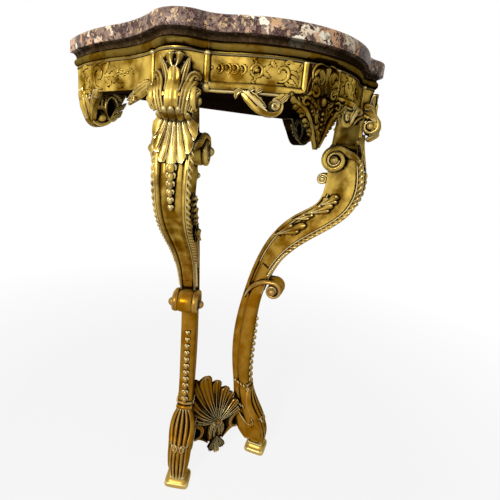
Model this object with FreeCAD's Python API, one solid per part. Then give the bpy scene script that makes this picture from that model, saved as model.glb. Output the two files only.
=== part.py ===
import FreeCAD, Part
import math
import os

Vector = FreeCAD.Vector
os.makedirs("parts", exist_ok=True)

# Console table that hangs on a wall by its back rail and stands on two feet.
# Heights are measured from the floor while building. The saved frame has its
# origin on the wall plane, in the middle of the back rail: +Z up, front at -Y.

# Overall heights
total_height = 880
slab_thickness = 30
rail_height = 60
foot_height = 30
overrun = 40

# Tolerances for picking edges and faces, and for crumbs left by a cut
edge_tolerance = 1
parallel_tolerance = 0.001
crumb_share = 0.0006

# Plan of the marble top: five compass arcs on each side of the middle
top_reach = 331
top_half_width = 284
bow_radius = 220
lobe_x = 174
lobe_y_share = 0.6767
lobe_radius = 48
front_hollow_radius = 60
side_hollow_radius = 200
ear_radius = 330
ear_centre_behind_wall = 20

# Marble edge: an upright band over a cove
band_overhang = 2
cove_radius = 8
band_round = 5

# Frame of the apron
face_inset = 12
rail_thickness = 22
back_rail_height = 53
back_rail_thickness = 20
block_width = 76
block_depth = 64
leg_angle = 38
glue_block_leg = 34
glue_block_height = 40

# Wall fixing through the back rail
wall_hole_spacing = 240
wall_hole_radius = 3.5

# Dowels of the frame and of the legs
dowel_radius = 4
dowel_length = 36
dowel_rise = 16
leg_dowel_radius = 6
leg_dowel_length = 44

# Mouldings of the apron
slab_clearance = 0.5
top_bead_radius = 6
corner_bead_radius = 4.5
panel_bead_radius = 4
panel_end_x = 27

# Legs: S-shaped in a plane that leads out from the corner at leg_angle.
# Edge tables give set-back and height as shares of the sweep and of the leg.
leg_sweep = 223
leg_width = 50
front_edge_shares = (
    (0.036, 1.0), (0.031, 0.934), (-0.031, 0.845), (0.036, 0.763), (0.296, 0.693),
    (0.583, 0.611), (0.762, 0.480), (0.798, 0.342), (0.771, 0.166), (0.592, 0.050),
    (0.587, 0.0),
)
back_edge_shares = (
    (0.251, 1.0), (0.269, 0.882), (0.314, 0.787), (0.529, 0.737), (0.762, 0.651),
    (0.915, 0.518), (0.996, 0.382), (0.991, 0.254), (0.928, 0.132), (0.879, 0.046),
    (0.780, 0.0),
)
width_shares = (
    (0.90, 1.0), (1.0, 0.93), (1.0, 0.85), (0.80, 0.72), (0.56, 0.60), (0.52, 0.50),
    (0.52, 0.27), (0.60, 0.235), (0.98, 0.18), (1.08, 0.10), (1.02, 0.04), (0.84, 0.0),
)

# Scrolls of the leg, each a roll that lies across it, placed like the leg's edges
head_scroll_shares = (0.009, 0.975)
head_scroll_radius = 17
head_scroll_width = 60
knee_scroll_shares = (0.242, 0.892)
knee_scroll_radius = 29
knee_scroll_width = 78
knee_curl_shares = (0.300, 0.8395)
knee_curl_radius = 10
knee_curl_width = 40
mid_scroll_shares = (0.637, 0.525)
mid_scroll_radius = 23
mid_scroll_width = 52
mid_band_thickness = 8
mid_band_crown_shares = (0.798, 0.542)
mid_band_end_shares = (0.951, 0.487)
button_radius = 6
button_length = 6

# Carved leaves and drops on the legs
fan_web_share = 0.8
leaf_thickness = 6
leaf_bed = 4
acanthus_height = 44
acanthus_lobe_half_width = 9.2
acanthus_tip_radius = 7
acanthus_tip_width = 24
knot_radius = 7
knot_share = 0.946
knot_spread = 11
shell_length_share = 0.0763
shell_lobe_width = 5.6
shell_lobes = 9
shell_half_angle = 34
shell_top_share = 0.942
upper_husk_radius_share = 0.38
lower_husk_radius_share = 0.24
husk_point_share = 1.5
husk_growth_share = 0.2
upper_husk_shares = (0.870, 0.856, 0.842, 0.828, 0.813, 0.798)
lower_husk_shares = (0.45, 0.425, 0.40, 0.375, 0.35, 0.325, 0.30, 0.275)
ankle_leaf_top_share = 0.225
ankle_leaf_width = 46
ankle_leaf_shares = ((0.5, 1.0), (1.0, 0.667), (0.667, 0.0))
ankle_collar_height = 9
ankle_collar_proud = 4

# Foot block: a flared plinth with a cut-in upper step
foot_middle_share = 0.655
foot_round = 6
foot_width = 56
foot_depth = 50
foot_step_height = 18
foot_top_width = 42
foot_top_depth = 44

# Stretcher between the lower legs
stretcher_share = 0.861
stretcher_lap = 18
stretcher_thickness = 26
stretcher_low = 38
stretcher_high = 94
stretcher_hub_half_width = 22
stretcher_hollow_radius = 20
palmette_base_z = 84
palmette_lean = 12
palmette_thickness = 16
plume_half_width = 9
plume_lengths = (64, 82, 100, 112, 98, 86, 76, 68, 62)
palmette_half_angle = 62
drop_low = 12
drop_half_width = 8
drop_lobe_angle = 26
drop_thickness = 20

# Centre cartouche: a shield on the bow that tapers to a hanging point
cartouche_half_width = 52
cartouche_top_gap = 6
cartouche_drop = 70
cartouche_proud = 9
cartouche_back = 12
cartouche_top_share = 0.54
cartouche_waist_share = 0.58
cartouche_taper_shares = ((0.34, 0.42), (0.17, 0.74))
cartouche_plume_lengths = (26, 34, 38, 34, 26)
cartouche_plume_half_width = 6.5
cartouche_plume_half_angle = 64
cartouche_plume_proud = 5
scroll_tube_radius = 5

# Scrolls that hang below the front rail
apron_scroll_start_x = 112
apron_scroll_end_x = 68
apron_scroll_drop = 27
apron_scroll_low_share = 0.75
apron_scroll_band = 8
apron_ball_radius = 9
apron_scroll_proud = 6
apron_scroll_back = 10

# Brackets that hang from the rear corners, against the wall
pendant_inner_share = 0.683
pendant_drop = 52
pendant_depth = 36
pendant_round = 20
pendant_hollow_radius = 15
pendant_ball_radius = 8

# Leaf under each side rail, and the carved relief of the panels
side_leaf_y = 176
side_leaf_length = 52
side_leaf_half_width = 9
side_leaf_thickness = 16
side_leaf_tilt = 58
side_leaf_lap = 12
relief_radius = 4
panel_husks = 4
panel_husk_start_x = 134
panel_husk_step = 8.5
rosette_x = 97
rosette_radius = 8
rosette_proud = 2.6
panel_scroll_x = 64
panel_scroll_radius = 11
panel_scroll_proud = 3
side_scroll_y = 92
side_scroll_radius = 13
side_scroll_proud = 3.4
side_buds = 4
side_bud_start_y = 116
side_bud_step = 13

# Values worked out from the sizes above
frame_top = total_height - slab_thickness
rail_bottom = frame_top - rail_height
leg_rise = rail_bottom - foot_height
lobe_y = lobe_y_share * top_reach
pendant_inner_x = pendant_inner_share * top_half_width
shell_length = shell_length_share * leg_rise
mount_height = frame_top - back_rail_height / 2
cove_top = frame_top + cove_radius
bead_bottom = frame_top - slab_clearance - 2 * top_bead_radius
ear_x = top_half_width - math.sqrt(ear_radius ** 2 - ear_centre_behind_wall ** 2)
bow_centre_y = bow_radius - top_reach
face_radius = bow_radius - face_inset
leg_turn = math.radians(leg_angle)
outward = Vector(math.sin(leg_turn), -math.cos(leg_turn), 0)
block_face = Vector(lobe_x, -lobe_y, 0) + outward * (lobe_radius - face_inset)
across = Vector(1, 0, 0)
up = Vector(0, 0, 1)
depth_axis = Vector(0, 1, 0)
origin = Vector(0, 0, 0)
through_leg = 3 * leg_sweep
stretcher_meet = block_face - outward * (stretcher_share * leg_sweep)
stretcher_front_y = stretcher_meet.y - stretcher_thickness / 2
stretcher_arm_reach = stretcher_meet.x + stretcher_lap
foot_middle_y = foot_middle_share * leg_sweep
relief_z = (rail_bottom + frame_top - top_bead_radius) / 2


def unit(vector):
    return vector / vector.Length


def hollow_centre(first, first_reach, second, second_reach, towards):
    """Centre at the two given reaches from two centres, on the side of towards."""
    line = second - first
    along = unit(line)
    aside = Vector(-along.y, along.x, 0)
    if aside.dot(towards) < 0:
        aside = aside * -1
    run = (first_reach ** 2 - second_reach ** 2 + line.Length ** 2) / (2 * line.Length)
    rise = math.sqrt(first_reach ** 2 - run ** 2)
    return first + along * run + aside * rise


def arc(centre, start, end):
    middle = unit((start - centre) + (end - centre))
    return Part.Arc(start, centre + middle * (start - centre).Length, end).toShape()


def half_plan(inset, z, beyond=0):
    """Right half of the plan, from the middle of the bow to the wall."""
    bow = Vector(0, bow_centre_y, z)
    lobe = Vector(lobe_x, -lobe_y, z)
    ear = Vector(ear_x, ear_centre_behind_wall, z)
    front = hollow_centre(bow, bow_radius + front_hollow_radius,
                          lobe, lobe_radius + front_hollow_radius, Vector(0, -1, 0))
    side = hollow_centre(lobe, lobe_radius + side_hollow_radius,
                         ear, ear_radius + side_hollow_radius, across)
    start = bow + Vector(0, inset - bow_radius, 0)
    bow_end = bow + unit(front - bow) * (bow_radius - inset)
    lobe_start = lobe + unit(front - lobe) * (lobe_radius - inset)
    lobe_end = lobe + unit(side - lobe) * (lobe_radius - inset)
    ear_start = ear + unit(side - ear) * (ear_radius - inset)
    wall_run = math.sqrt((ear_radius - inset) ** 2 - (ear_centre_behind_wall - beyond) ** 2)
    wall_end = Vector(ear_x + wall_run, beyond, z)
    return [arc(bow, start, bow_end), arc(front, bow_end, lobe_start),
            arc(lobe, lobe_start, lobe_end), arc(side, lobe_end, ear_start),
            arc(ear, ear_start, wall_end)]


def mirrored(shape):
    return shape.mirror(origin, across)


def plan_solid(inset, low, high):
    """Upright solid of the whole plan, closed by the wall plane."""
    edges = half_plan(inset, low)
    corner = edges[-1].Vertexes[-1].Point
    back = Part.makeLine(corner, Vector(-corner.x, corner.y, corner.z))
    wire = Part.Wire(Part.__sortEdges__(edges + [mirrored(edge) for edge in edges] + [back]))
    return Part.Face(wire).extrude(up * (high - low))


def ring_solid(outer, inner, low, high):
    """Wall that follows the plan between two insets."""
    return plan_solid(outer, low, high).cut(plan_solid(inner, low - overrun, high + overrun))


def box(low, high):
    size = high - low
    return Part.makeBox(size.x, size.y, size.z, low)


def wall_side():
    """Everything behind the wall plane."""
    reach = top_half_width + overrun
    return box(Vector(-reach, 0, -overrun), Vector(reach, reach, total_height + overrun))


def swept_half(inset, z, radius):
    """Round bar that follows the right half of the plan, past the wall."""
    path = Part.Wire(half_plan(inset, z, overrun))
    start = path.OrderedVertexes[0].Point
    ring = Part.Wire(Part.makeCircle(radius, start, across))
    return path.makePipeShell([ring], True, True)


def place(shape, point, angle=leg_angle):
    """Turn a piece built with its front at -Y so that it faces along angle."""
    moved = shape.copy()
    moved.rotate(origin, up, angle)
    moved.translate(point)
    return moved


def on_leg(shape):
    return place(shape, block_face)


def trim(shape, *others):
    """Cut a piece to the ones it sits against, without crumbs."""
    for other in others:
        shape = shape.cut(other)
    crumb_volume = crumb_share * max(solid.Volume for solid in shape.Solids)
    kept = [solid for solid in shape.Solids if solid.Volume > crumb_volume]
    return kept[0] if len(kept) == 1 else Part.makeCompound(kept)


def largest(shape):
    return max(shape.Solids, key=lambda solid: solid.Volume)


def joined(shapes):
    whole = shapes[0]
    for shape in shapes[1:]:
        whole = whole.fuse(shape)
    return single(whole.removeSplitter())


def single(shape):
    return shape.Solids[0] if len(shape.Solids) == 1 else shape


def rod(radius, start, end):
    line = end - start
    return Part.makeCylinder(radius, line.Length, start, line)


def roll(radius, width, shares):
    """Round bar across the leg with a button on each end."""
    centre = leg_point(shares)
    half = across * (width / 2)
    reach = across * (width / 2 + button_length)
    bar = rod(radius, centre - half, centre + half)
    pin = rod(button_radius, centre - reach, centre + reach)
    return bar.fuse(pin).removeSplitter()


def plate(points, depth, y):
    """Flat piece with straight edges, upright in X and Z, that runs back from y."""
    corners = [Vector(x, y, z) for x, z in points]
    return Part.Face(Part.makePolygon(corners + corners[:1])).extrude(Vector(0, depth, 0))


def plume(length, half_width, depth, y, base, angle):
    """Leaf lobe: narrow at its base and round at its end, leaning by angle from upright."""
    centre_run = length - half_width
    lean = math.asin(half_width / centre_run)
    touch = Vector(half_width * math.cos(lean), y, base + centre_run + half_width * math.sin(lean))
    foot = Vector(0, y, base)
    other = Vector(-touch.x, y, touch.z)
    tip = Vector(0, y, base + length)
    end = Part.Arc(touch, tip, other).toShape()
    edges = [Part.makeLine(foot, touch), end, Part.makeLine(other, foot)]
    lobe = Part.Face(Part.Wire(edges)).extrude(Vector(0, depth, 0))
    lobe.rotate(foot, depth_axis, angle)
    return lobe


def fan(lengths, half_width, depth, y, base, half_angle):
    """Lobes that spread from one root, evenly on both sides, over a web that ties them."""
    last = len(lengths) - 1
    lobes = []
    web = [(0, base)]
    for index, length in enumerate(lengths):
        angle = half_angle * (2 * index / last - 1)
        lobes.append(plume(length, half_width, depth, y, base, angle))
        turn = math.radians(angle)
        reach = fan_web_share * length
        web.append((reach * math.sin(turn), base + reach * math.cos(turn)))
    return joined([plate(web, depth, y)] + lobes)


# Marble top
def marble_top():
    band = plan_solid(0, cove_top, total_height)
    band = band.makeFillet(band_round, [edge for edge in band.Edges if upper_front_edge(edge)])
    neck = plan_solid(band_overhang, frame_top, cove_top)
    cove = swept_half(band_overhang, frame_top, cove_radius)
    neck = neck.cut(cove).cut(mirrored(cove))
    return largest(band.fuse(neck).removeSplitter())


def upper_front_edge(edge):
    box_of_edge = edge.BoundBox
    on_top = box_of_edge.ZMin > total_height - edge_tolerance
    return on_top and box_of_edge.YMin < -back_rail_thickness


# Frame of the apron
def block_box():
    half = block_width / 2
    return on_leg(box(Vector(-half, -overrun, -overrun), Vector(half, block_depth, total_height)))


def corner_block():
    return largest(plan_solid(face_inset, rail_bottom, frame_top).common(block_box()))


def rails():
    ring = ring_solid(face_inset, face_inset + rail_thickness, rail_bottom, frame_top)
    pieces = ring.cut(block_box()).cut(mirrored(block_box())).Solids
    pieces = sorted(pieces, key=lambda solid: solid.Volume)[-3:]
    return sorted(pieces, key=lambda solid: solid.CenterOfMass.x)


def back_rail():
    inside = plan_solid(face_inset + rail_thickness, frame_top - back_rail_height, frame_top)
    board = inside.common(box(Vector(-top_half_width, -back_rail_thickness, 0),
                              Vector(top_half_width, 0, total_height)))
    for side in (-1, 1):
        x = side * wall_hole_spacing / 2
        board = board.cut(rod(wall_hole_radius, Vector(x, -back_rail_thickness - overrun, mount_height),
                              Vector(x, overrun, mount_height)))
    return largest(board)


def glue_block(side_rail):
    """Three-cornered block in the angle between the back rail and the right side rail."""
    corner_x = side_rail.BoundBox.XMax
    front = -back_rail_thickness
    points = [Vector(corner_x, front, 0), Vector(corner_x, front - glue_block_leg, 0)]
    points.append(Vector(corner_x - rail_thickness - 2 * glue_block_leg, front, 0))
    prism = Part.Face(Part.makePolygon(points + points[:1])).extrude(up * glue_block_height)
    prism.translate(up * (frame_top - glue_block_height))
    inside = plan_solid(face_inset + rail_thickness, rail_bottom, frame_top)
    return largest(prism.common(inside))


def joint_centre(rail, normal, near):
    """Middle of the flat end face of a rail that looks along normal, nearest to a point."""
    flat = [face for face in rail.Faces if face.Surface.TypeId == "Part::GeomPlane"]
    ends = [face for face in flat
            if abs(abs(face.Surface.Axis.dot(normal)) - 1) < parallel_tolerance]
    return min(ends, key=lambda face: (face.CenterOfMass - near).Length).CenterOfMass


def rail_dowels(front_rail, side_rail):
    """Dowels of the right half: both ends of the corner block, and the back rail."""
    along = Vector(math.cos(leg_turn), math.sin(leg_turn), 0)
    near = block_face + up * (rail_bottom + rail_height / 2)
    centres = []
    for rail in (front_rail, side_rail):
        centre = joint_centre(rail, along, near)
        into_rail = rail.CenterOfMass - centre
        centres.append((centre, unit(Vector(into_rail.x, into_rail.y, 0))))
    wall_x = side_rail.BoundBox.XMax - rail_thickness
    centres.append((Vector(wall_x, -back_rail_thickness / 2, mount_height), across))
    pegs = []
    for centre, direction in centres:
        for step in (-1, 1):
            middle = Vector(centre.x, centre.y, centre.z + step * dowel_rise)
            half = direction * (dowel_length / 2)
            pegs.append(rod(dowel_radius, middle - half, middle + half))
    return pegs


# Mouldings of the apron
def top_moulding_runs():
    """Half-round bead under the marble: the front run and the right-hand run."""
    z = bead_bottom + top_bead_radius
    bead = swept_half(face_inset, z, top_bead_radius).cut(wall_side())
    bead = bead.cut(plan_solid(face_inset, rail_bottom, frame_top))
    front = front_part(bead)
    side = largest(bead.cut(front_box()))
    return joined([front, mirrored(front)]), side


def front_box():
    """Space in front of the right corner block, back to the middle plane."""
    half = block_width / 2
    inner = box(Vector(-top_half_width, -top_reach, -overrun), Vector(-half, top_reach, total_height))
    return on_leg(inner).common(box(Vector(0, -top_reach - overrun, 0),
                                    Vector(top_half_width, 0, total_height)))


def front_part(shape):
    return largest(shape.common(front_box()))


def panel_moulding():
    """Half-round bead along the foot of the right front panel, turned up at its inner end."""
    z = rail_bottom + panel_bead_radius
    bead = front_part(swept_half(face_inset, z, panel_bead_radius))
    bead = bead.cut(box(Vector(-overrun, -top_reach - overrun, 0),
                        Vector(panel_end_x, 0, total_height)))
    turn = math.asin(panel_end_x / face_radius)
    x = panel_end_x
    y = bow_centre_y - face_radius * math.cos(turn)
    post = rod(panel_bead_radius, Vector(x, y, rail_bottom), Vector(x, y, bead_bottom))
    return bead.fuse(post).removeSplitter()


def corner_beads(block):
    """Upright beads that cover the two joints of the right corner block."""
    beads = []
    for step in (-1, 1):
        edge_x = step * block_width / 2
        points = [local_to_leg(vertex.Point) for vertex in block.Vertexes]
        edge = [point for point in points if abs(point.x - edge_x) < corner_bead_radius]
        front = min(edge, key=lambda point: point.y)
        low = Vector(front.x, front.y, rail_bottom)
        high = Vector(front.x, front.y, bead_bottom)
        beads.append(on_leg(rod(corner_bead_radius, low, high)))
    return beads


def local_to_leg(point):
    moved = point - block_face
    turned = FreeCAD.Rotation(up, -leg_angle)
    return turned.multVec(moved)


# Legs
def leg_point(share, shift=0):
    return Vector(0, share[0] * leg_sweep + shift, foot_height + share[1] * leg_rise)


def smooth_edge(points):
    curve = Part.BSplineCurve()
    curve.interpolate(points)
    return curve


def front_curve(shift=0):
    return smooth_edge([leg_point(share, shift) for share in front_edge_shares])


def between(first, second, half):
    """Solid across the leg between two upright curves."""
    first_edge = first.toShape()
    second_edge = second.toShape()
    low = Part.makeLine(first_edge.Vertexes[-1].Point, second_edge.Vertexes[-1].Point)
    high = Part.makeLine(second_edge.Vertexes[0].Point, first_edge.Vertexes[0].Point)
    face = Part.Face(Part.Wire(Part.__sortEdges__([first_edge, low, second_edge, high])))
    face.translate(across * -half)
    return face.extrude(across * (2 * half))


def leg_blank():
    """Whole S-shaped leg, narrowed towards its middle."""
    back = smooth_edge([leg_point(share) for share in back_edge_shares])
    side_view = between(front_curve(), back, leg_width)
    right = [Vector(share[0] * leg_width / 2, -leg_sweep, foot_height + share[1] * leg_rise)
             for share in width_shares]
    left = [Vector(-point.x, point.y, point.z) for point in right]
    right_edge = smooth_edge(right).toShape()
    left_edge = smooth_edge(left).toShape()
    low = Part.makeLine(right[-1], left[-1])
    high = Part.makeLine(left[0], right[0])
    face = Part.Face(Part.Wire(Part.__sortEdges__([right_edge, low, left_edge, high])))
    front_view = face.extrude(Vector(0, through_leg, 0))
    return largest(side_view.common(front_view))


def front_skin(proud, bed):
    """Layer over the front of the leg, from proud of it to a bed behind its face."""
    return between(front_curve(-proud), front_curve(bed), leg_width)


def mid_scroll():
    """Scroll that wraps the leg at mid height: a roll in front and a band to the back edge."""
    half = mid_scroll_width / 2
    top = leg_point(mid_scroll_shares) + up * mid_scroll_radius
    crown = leg_point(mid_band_crown_shares)
    end = leg_point(mid_band_end_shares)
    drop = up * -mid_band_thickness
    outer = Part.Arc(top, crown, end).toShape()
    inner = Part.Arc(end + drop, crown + drop, top + drop).toShape()
    edges = [outer, Part.makeLine(end, end + drop), inner, Part.makeLine(top + drop, top)]
    face = Part.Face(Part.Wire(edges))
    face.translate(across * -half)
    band = face.extrude(across * mid_scroll_width)
    return joined([band, roll(mid_scroll_radius, mid_scroll_width, mid_scroll_shares)])


def head_scroll():
    return roll(head_scroll_radius, head_scroll_width, head_scroll_shares)


def knee_scroll():
    return roll(knee_scroll_radius, knee_scroll_width, knee_scroll_shares)


def knee_curl():
    return roll(knee_curl_radius, knee_curl_width, knee_curl_shares)


def corner_acanthus():
    """Leaf that climbs the face of the block, with its tip curled over."""
    half_lobe = acanthus_lobe_half_width
    depth = leaf_thickness + block_depth / 2
    side_length = acanthus_height - half_lobe
    lengths = (side_length, acanthus_height, acanthus_height + half_lobe, acanthus_height, side_length)
    leaf = fan(lengths, half_lobe, depth, -leaf_thickness, rail_bottom, shell_half_angle)
    tip_z = rail_bottom + acanthus_height - acanthus_tip_radius
    half = acanthus_tip_width / 2
    tip_y = -leaf_thickness
    tip = rod(acanthus_tip_radius, Vector(-half, tip_y, tip_z), Vector(half, tip_y, tip_z))
    return leaf.fuse(tip).removeSplitter()


def shell_knot():
    """Three round lobes side by side, tying the leaf above to the shell below."""
    z = foot_height + knot_share * leg_rise
    low = z - knot_radius
    high = z + knot_radius
    lobes = []
    for step in (-1, 0, 1):
        x = step * knot_spread
        bar = rod(knot_radius, Vector(x, 0, low), Vector(x, 0, high))
        ends = [Part.makeSphere(knot_radius, Vector(x, 0, end)) for end in (low, high)]
        lobes.append(joined([bar] + ends))
    return joined(lobes)


def knee_shell():
    """Scalloped shell that spreads down over the knee."""
    lengths = (shell_length,) * shell_lobes
    depth = leg_sweep
    spread = fan(lengths, shell_lobe_width, depth, -depth / 2, 0, shell_half_angle)
    spread.rotate(origin, depth_axis, 180)
    spread.translate(up * (foot_height + shell_top_share * leg_rise))
    return largest(spread.common(front_skin(leaf_thickness, leaf_bed)))


def husk_drop(shares, radius_share, growth):
    """Row of pointed buds down the front of the leg, each following the face."""
    edge = front_curve().toShape()
    buds = []
    last = len(shares) - 1
    pitch = (shares[0] - shares[1]) * leg_rise
    for index, share in enumerate(shares):
        radius = radius_share * pitch * (1 + growth * (index / last - 1 / 2))
        z = foot_height + share * leg_rise
        level = Part.makeLine(Vector(0, -leg_sweep, z), Vector(0, 2 * leg_sweep, z))
        y = edge.distToShape(level)[1][0][0].y
        ball = Part.makeSphere(radius, Vector(0, y, z))
        point = Part.makeCone(radius, 0, husk_point_share * radius, Vector(0, y, z), up * -1)
        buds.append(ball.fuse(point).removeSplitter())
    return buds


def ankle_leaf():
    """Long leaf down the front of the ankle, under a round collar."""
    top = foot_height + ankle_leaf_top_share * leg_rise
    half = ankle_leaf_width / 2
    right = [(x * half, foot_height + z * (top - foot_height)) for x, z in ankle_leaf_shares]
    left = [(-x, z) for x, z in reversed(right)]
    spread = plate(right + left, through_leg, -leg_sweep)
    leaf = largest(spread.common(front_skin(leaf_thickness, leaf_bed)))
    collar_points = [(-half, top), (half, top), (half, top + ankle_collar_height),
                     (-half, top + ankle_collar_height)]
    collar = plate(collar_points, through_leg, -leg_sweep)
    collar = largest(collar.common(front_skin(leaf_thickness + ankle_collar_proud, leaf_bed)))
    return leaf.fuse(collar).removeSplitter()


def foot_block():
    half = Vector(foot_width / 2, foot_depth / 2, 0)
    middle = Vector(0, foot_middle_y, 0)
    low = box(middle - half, middle + half + up * foot_step_height)
    upright = [edge for edge in low.Edges if edge.BoundBox.ZLength > foot_step_height / 2]
    low = low.makeFillet(foot_round, upright)
    top_half = Vector(foot_top_width / 2, foot_top_depth / 2, 0)
    step = box(middle - top_half + up * foot_step_height, middle + top_half + up * foot_height)
    return joined([low, step])


def leg_dowels():
    """Pegs that tie the leg to its block, its two lengths together and the foot to the leg."""
    half = up * (leg_dowel_length / 2)
    top_y = (front_edge_shares[0][0] + back_edge_shares[0][0]) / 2 * leg_sweep
    scroll = leg_point(mid_scroll_shares)
    middle_y = (scroll.y + mid_scroll_radius + leg_point(mid_band_end_shares).y) / 2
    top = Vector(0, top_y, rail_bottom)
    foot = Vector(0, foot_middle_y, foot_height)
    middle = Vector(0, middle_y, scroll.z)
    pegs = [rod(leg_dowel_radius, point - half, point + half) for point in (top, middle)]
    pegs.append(rod(leg_dowel_radius, foot - half / 2, foot + half / 2))
    return pegs


# Stretcher
def stretcher_arm():
    """Right arm with a scrolled hollow, from the hub to the back of the lower leg."""
    hub = stretcher_hub_half_width
    middle = (stretcher_low + stretcher_high) / 2
    crown = stretcher_hollow_radius / 2
    points = [(hub, stretcher_low), (hub + crown, stretcher_low), (stretcher_arm_reach, middle - crown),
              (stretcher_arm_reach, stretcher_high), (hub + crown, stretcher_high + crown),
              (hub, stretcher_high)]
    arm = plate(points, stretcher_thickness, stretcher_front_y)
    hollow_z = stretcher_low - crown
    hollow_x = (hub + stretcher_arm_reach) / 2 + crown
    y = stretcher_front_y - overrun
    hollow = rod(stretcher_hollow_radius, Vector(hollow_x, y, hollow_z), Vector(hollow_x, 0, hollow_z))
    return largest(arm.cut(hollow))


def stretcher_palmette():
    """Hub with a fan of plumes that leans back towards the wall."""
    y = stretcher_front_y
    hub = stretcher_hub_half_width
    core = box(Vector(-hub, y, stretcher_low), Vector(hub, y + stretcher_thickness, stretcher_high))
    spread = fan(plume_lengths, plume_half_width, palmette_thickness, y, palmette_base_z,
                 palmette_half_angle)
    spread.rotate(Vector(0, y, palmette_base_z), across, -palmette_lean)
    return joined([core, spread])


def stretcher_drop():
    """Hanging leaf below the hub."""
    length = stretcher_low - drop_low + stretcher_hollow_radius
    side = length - drop_half_width / 2
    y = stretcher_front_y - (drop_thickness - palmette_thickness)
    leaf = fan((side, length, side), drop_half_width, drop_thickness, y, 0, drop_lobe_angle)
    leaf.rotate(Vector(0, y, 0), depth_axis, 180)
    leaf.translate(up * (drop_low + length))
    return leaf


# Carving of the apron
def bow_layer(proud, back, low, high):
    """Upright layer that follows the bow, from proud of the rail face to behind it."""
    centre = Vector(0, bow_centre_y, low)
    outer = Part.makeCylinder(face_radius + proud, high - low, centre)
    return outer.cut(Part.makeCylinder(face_radius - back, high - low, centre))


def cartouche_outline():
    """Right-hand edge of the shield, from its top down to its point."""
    half = cartouche_half_width
    top = bead_bottom - cartouche_top_gap
    waist = (cartouche_waist_share * half, rail_bottom + panel_bead_radius)
    points = [(cartouche_top_share * half, top), waist, (half, rail_bottom)]
    points += [(x * half, rail_bottom - z * cartouche_drop) for x, z in cartouche_taper_shares]
    return points + [(0, rail_bottom - cartouche_drop)]


def centre_cartouche():
    right = cartouche_outline()
    left = [(-x, z) for x, z in reversed(right[:-1])]
    shield = plate(right + left, top_reach, -top_reach - overrun)
    layer = bow_layer(cartouche_proud, cartouche_back, rail_bottom - 2 * cartouche_drop, frame_top)
    return front_half(shield.common(layer))


def front_half(shape):
    """The part of a bow layer that lies on the front of the table."""
    reach = top_half_width
    front = box(Vector(-reach, -top_reach - overrun, 0), Vector(reach, bow_centre_y, total_height))
    return largest(shape.common(front))


def cartouche_shell():
    """Fan of plumes on the shield."""
    spread = fan(cartouche_plume_lengths, cartouche_plume_half_width, top_reach, -top_reach - overrun,
                 rail_bottom, cartouche_plume_half_angle)
    low = rail_bottom - cartouche_drop
    layer = bow_layer(cartouche_proud + cartouche_plume_proud, cartouche_back, low, frame_top)
    return front_half(spread.common(layer))


def cartouche_scroll():
    """Rounded border along the right lower edge of the shield."""
    path = cartouche_outline()[2:]
    bars = []
    for (x0, z0), (x1, z1) in zip(path, path[1:]):
        start = Vector(x0, bow_face_y(x0) - cartouche_proud, z0)
        end = Vector(x1, bow_face_y(x1) - cartouche_proud, z1)
        bars.append(rod(scroll_tube_radius, start, end))
        bars.append(Part.makeSphere(scroll_tube_radius, start))
    bars = joined(bars)
    return largest(bars.common(box(Vector(0, -2 * top_reach, 0), Vector(top_reach, 0, total_height))))


def bow_face_y(x):
    return bow_centre_y - math.sqrt(face_radius ** 2 - x ** 2)


def apron_scroll():
    """Hanging C-scroll with a ball in its curl, under the right half of the front rail."""
    start = Vector(apron_scroll_start_x, 0, rail_bottom)
    low_x = apron_scroll_start_x + apron_scroll_low_share * (apron_scroll_end_x - apron_scroll_start_x)
    low = Vector(low_x, 0, rail_bottom - apron_scroll_drop)
    end = Vector(apron_scroll_end_x - apron_ball_radius, 0, rail_bottom - apron_scroll_drop / 2)
    lift = Vector(-apron_scroll_band, 0, apron_scroll_band)
    ball_z = rail_bottom - apron_scroll_drop / 2
    outer = Part.Arc(start, low, end).toShape()
    inner_end = end + Vector(apron_scroll_band, 0, 0)
    inner_start = start + Vector(-2 * apron_scroll_band, 0, 0)
    inner = Part.Arc(inner_end, low + lift, inner_start).toShape()
    face = Part.Face(Part.Wire([outer, Part.makeLine(end, inner_end), inner,
                                Part.makeLine(inner_start, start)]))
    band = face.extrude(Vector(0, top_reach, 0))
    band.translate(Vector(0, -top_reach - overrun, 0))
    y = -top_reach - overrun
    ball_front = Vector(apron_scroll_end_x, y, ball_z)
    ball = rod(apron_ball_radius, ball_front, ball_front - depth_axis * y)
    layer = bow_layer(apron_scroll_proud, apron_scroll_back, rail_bottom - 2 * cartouche_drop, frame_top)
    return front_half(joined([band, ball]).common(layer))


def rear_pendant():
    """Bracket with a hollow face and a ball, hanging from the right rear corner."""
    low = rail_bottom - pendant_drop
    high = frame_top - back_rail_height
    space = plan_solid(face_inset, low, high)
    bracket = space.common(box(Vector(pendant_inner_x, -pendant_depth, low),
                               Vector(top_half_width, 0, high)))
    corners = [edge for edge in bracket.Edges if low_depth_edge(edge, low)]
    bracket = bracket.makeFillet(pendant_round, corners)
    middle = (pendant_inner_x + bracket.BoundBox.XMax) / 2
    hollow_z = low + pendant_round + pendant_ball_radius
    front = Vector(middle, -pendant_depth - overrun, hollow_z)
    hollow = rod(pendant_hollow_radius, front, Vector(middle, -pendant_depth / 2, hollow_z))
    bracket = bracket.cut(hollow)
    ball_z = hollow_z - pendant_hollow_radius + pendant_ball_radius
    ball_y = -(pendant_depth + pendant_ball_radius) / 2
    ball = Part.makeSphere(pendant_ball_radius, Vector(middle, ball_y, ball_z))
    return joined([largest(bracket), ball])


def low_depth_edge(edge, low):
    size = edge.BoundBox
    return size.ZMax < low + edge_tolerance and size.YLength > pendant_depth / 2


def side_point(y):
    """Point of the right side face at the given depth, with the angle it faces."""
    reach = ear_radius - face_inset
    rise = ear_centre_behind_wall + y
    x = ear_x + math.sqrt(reach ** 2 - rise ** 2)
    angle = 90 - math.degrees(math.asin(rise / reach))
    return Vector(x, -y, 0), angle


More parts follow.
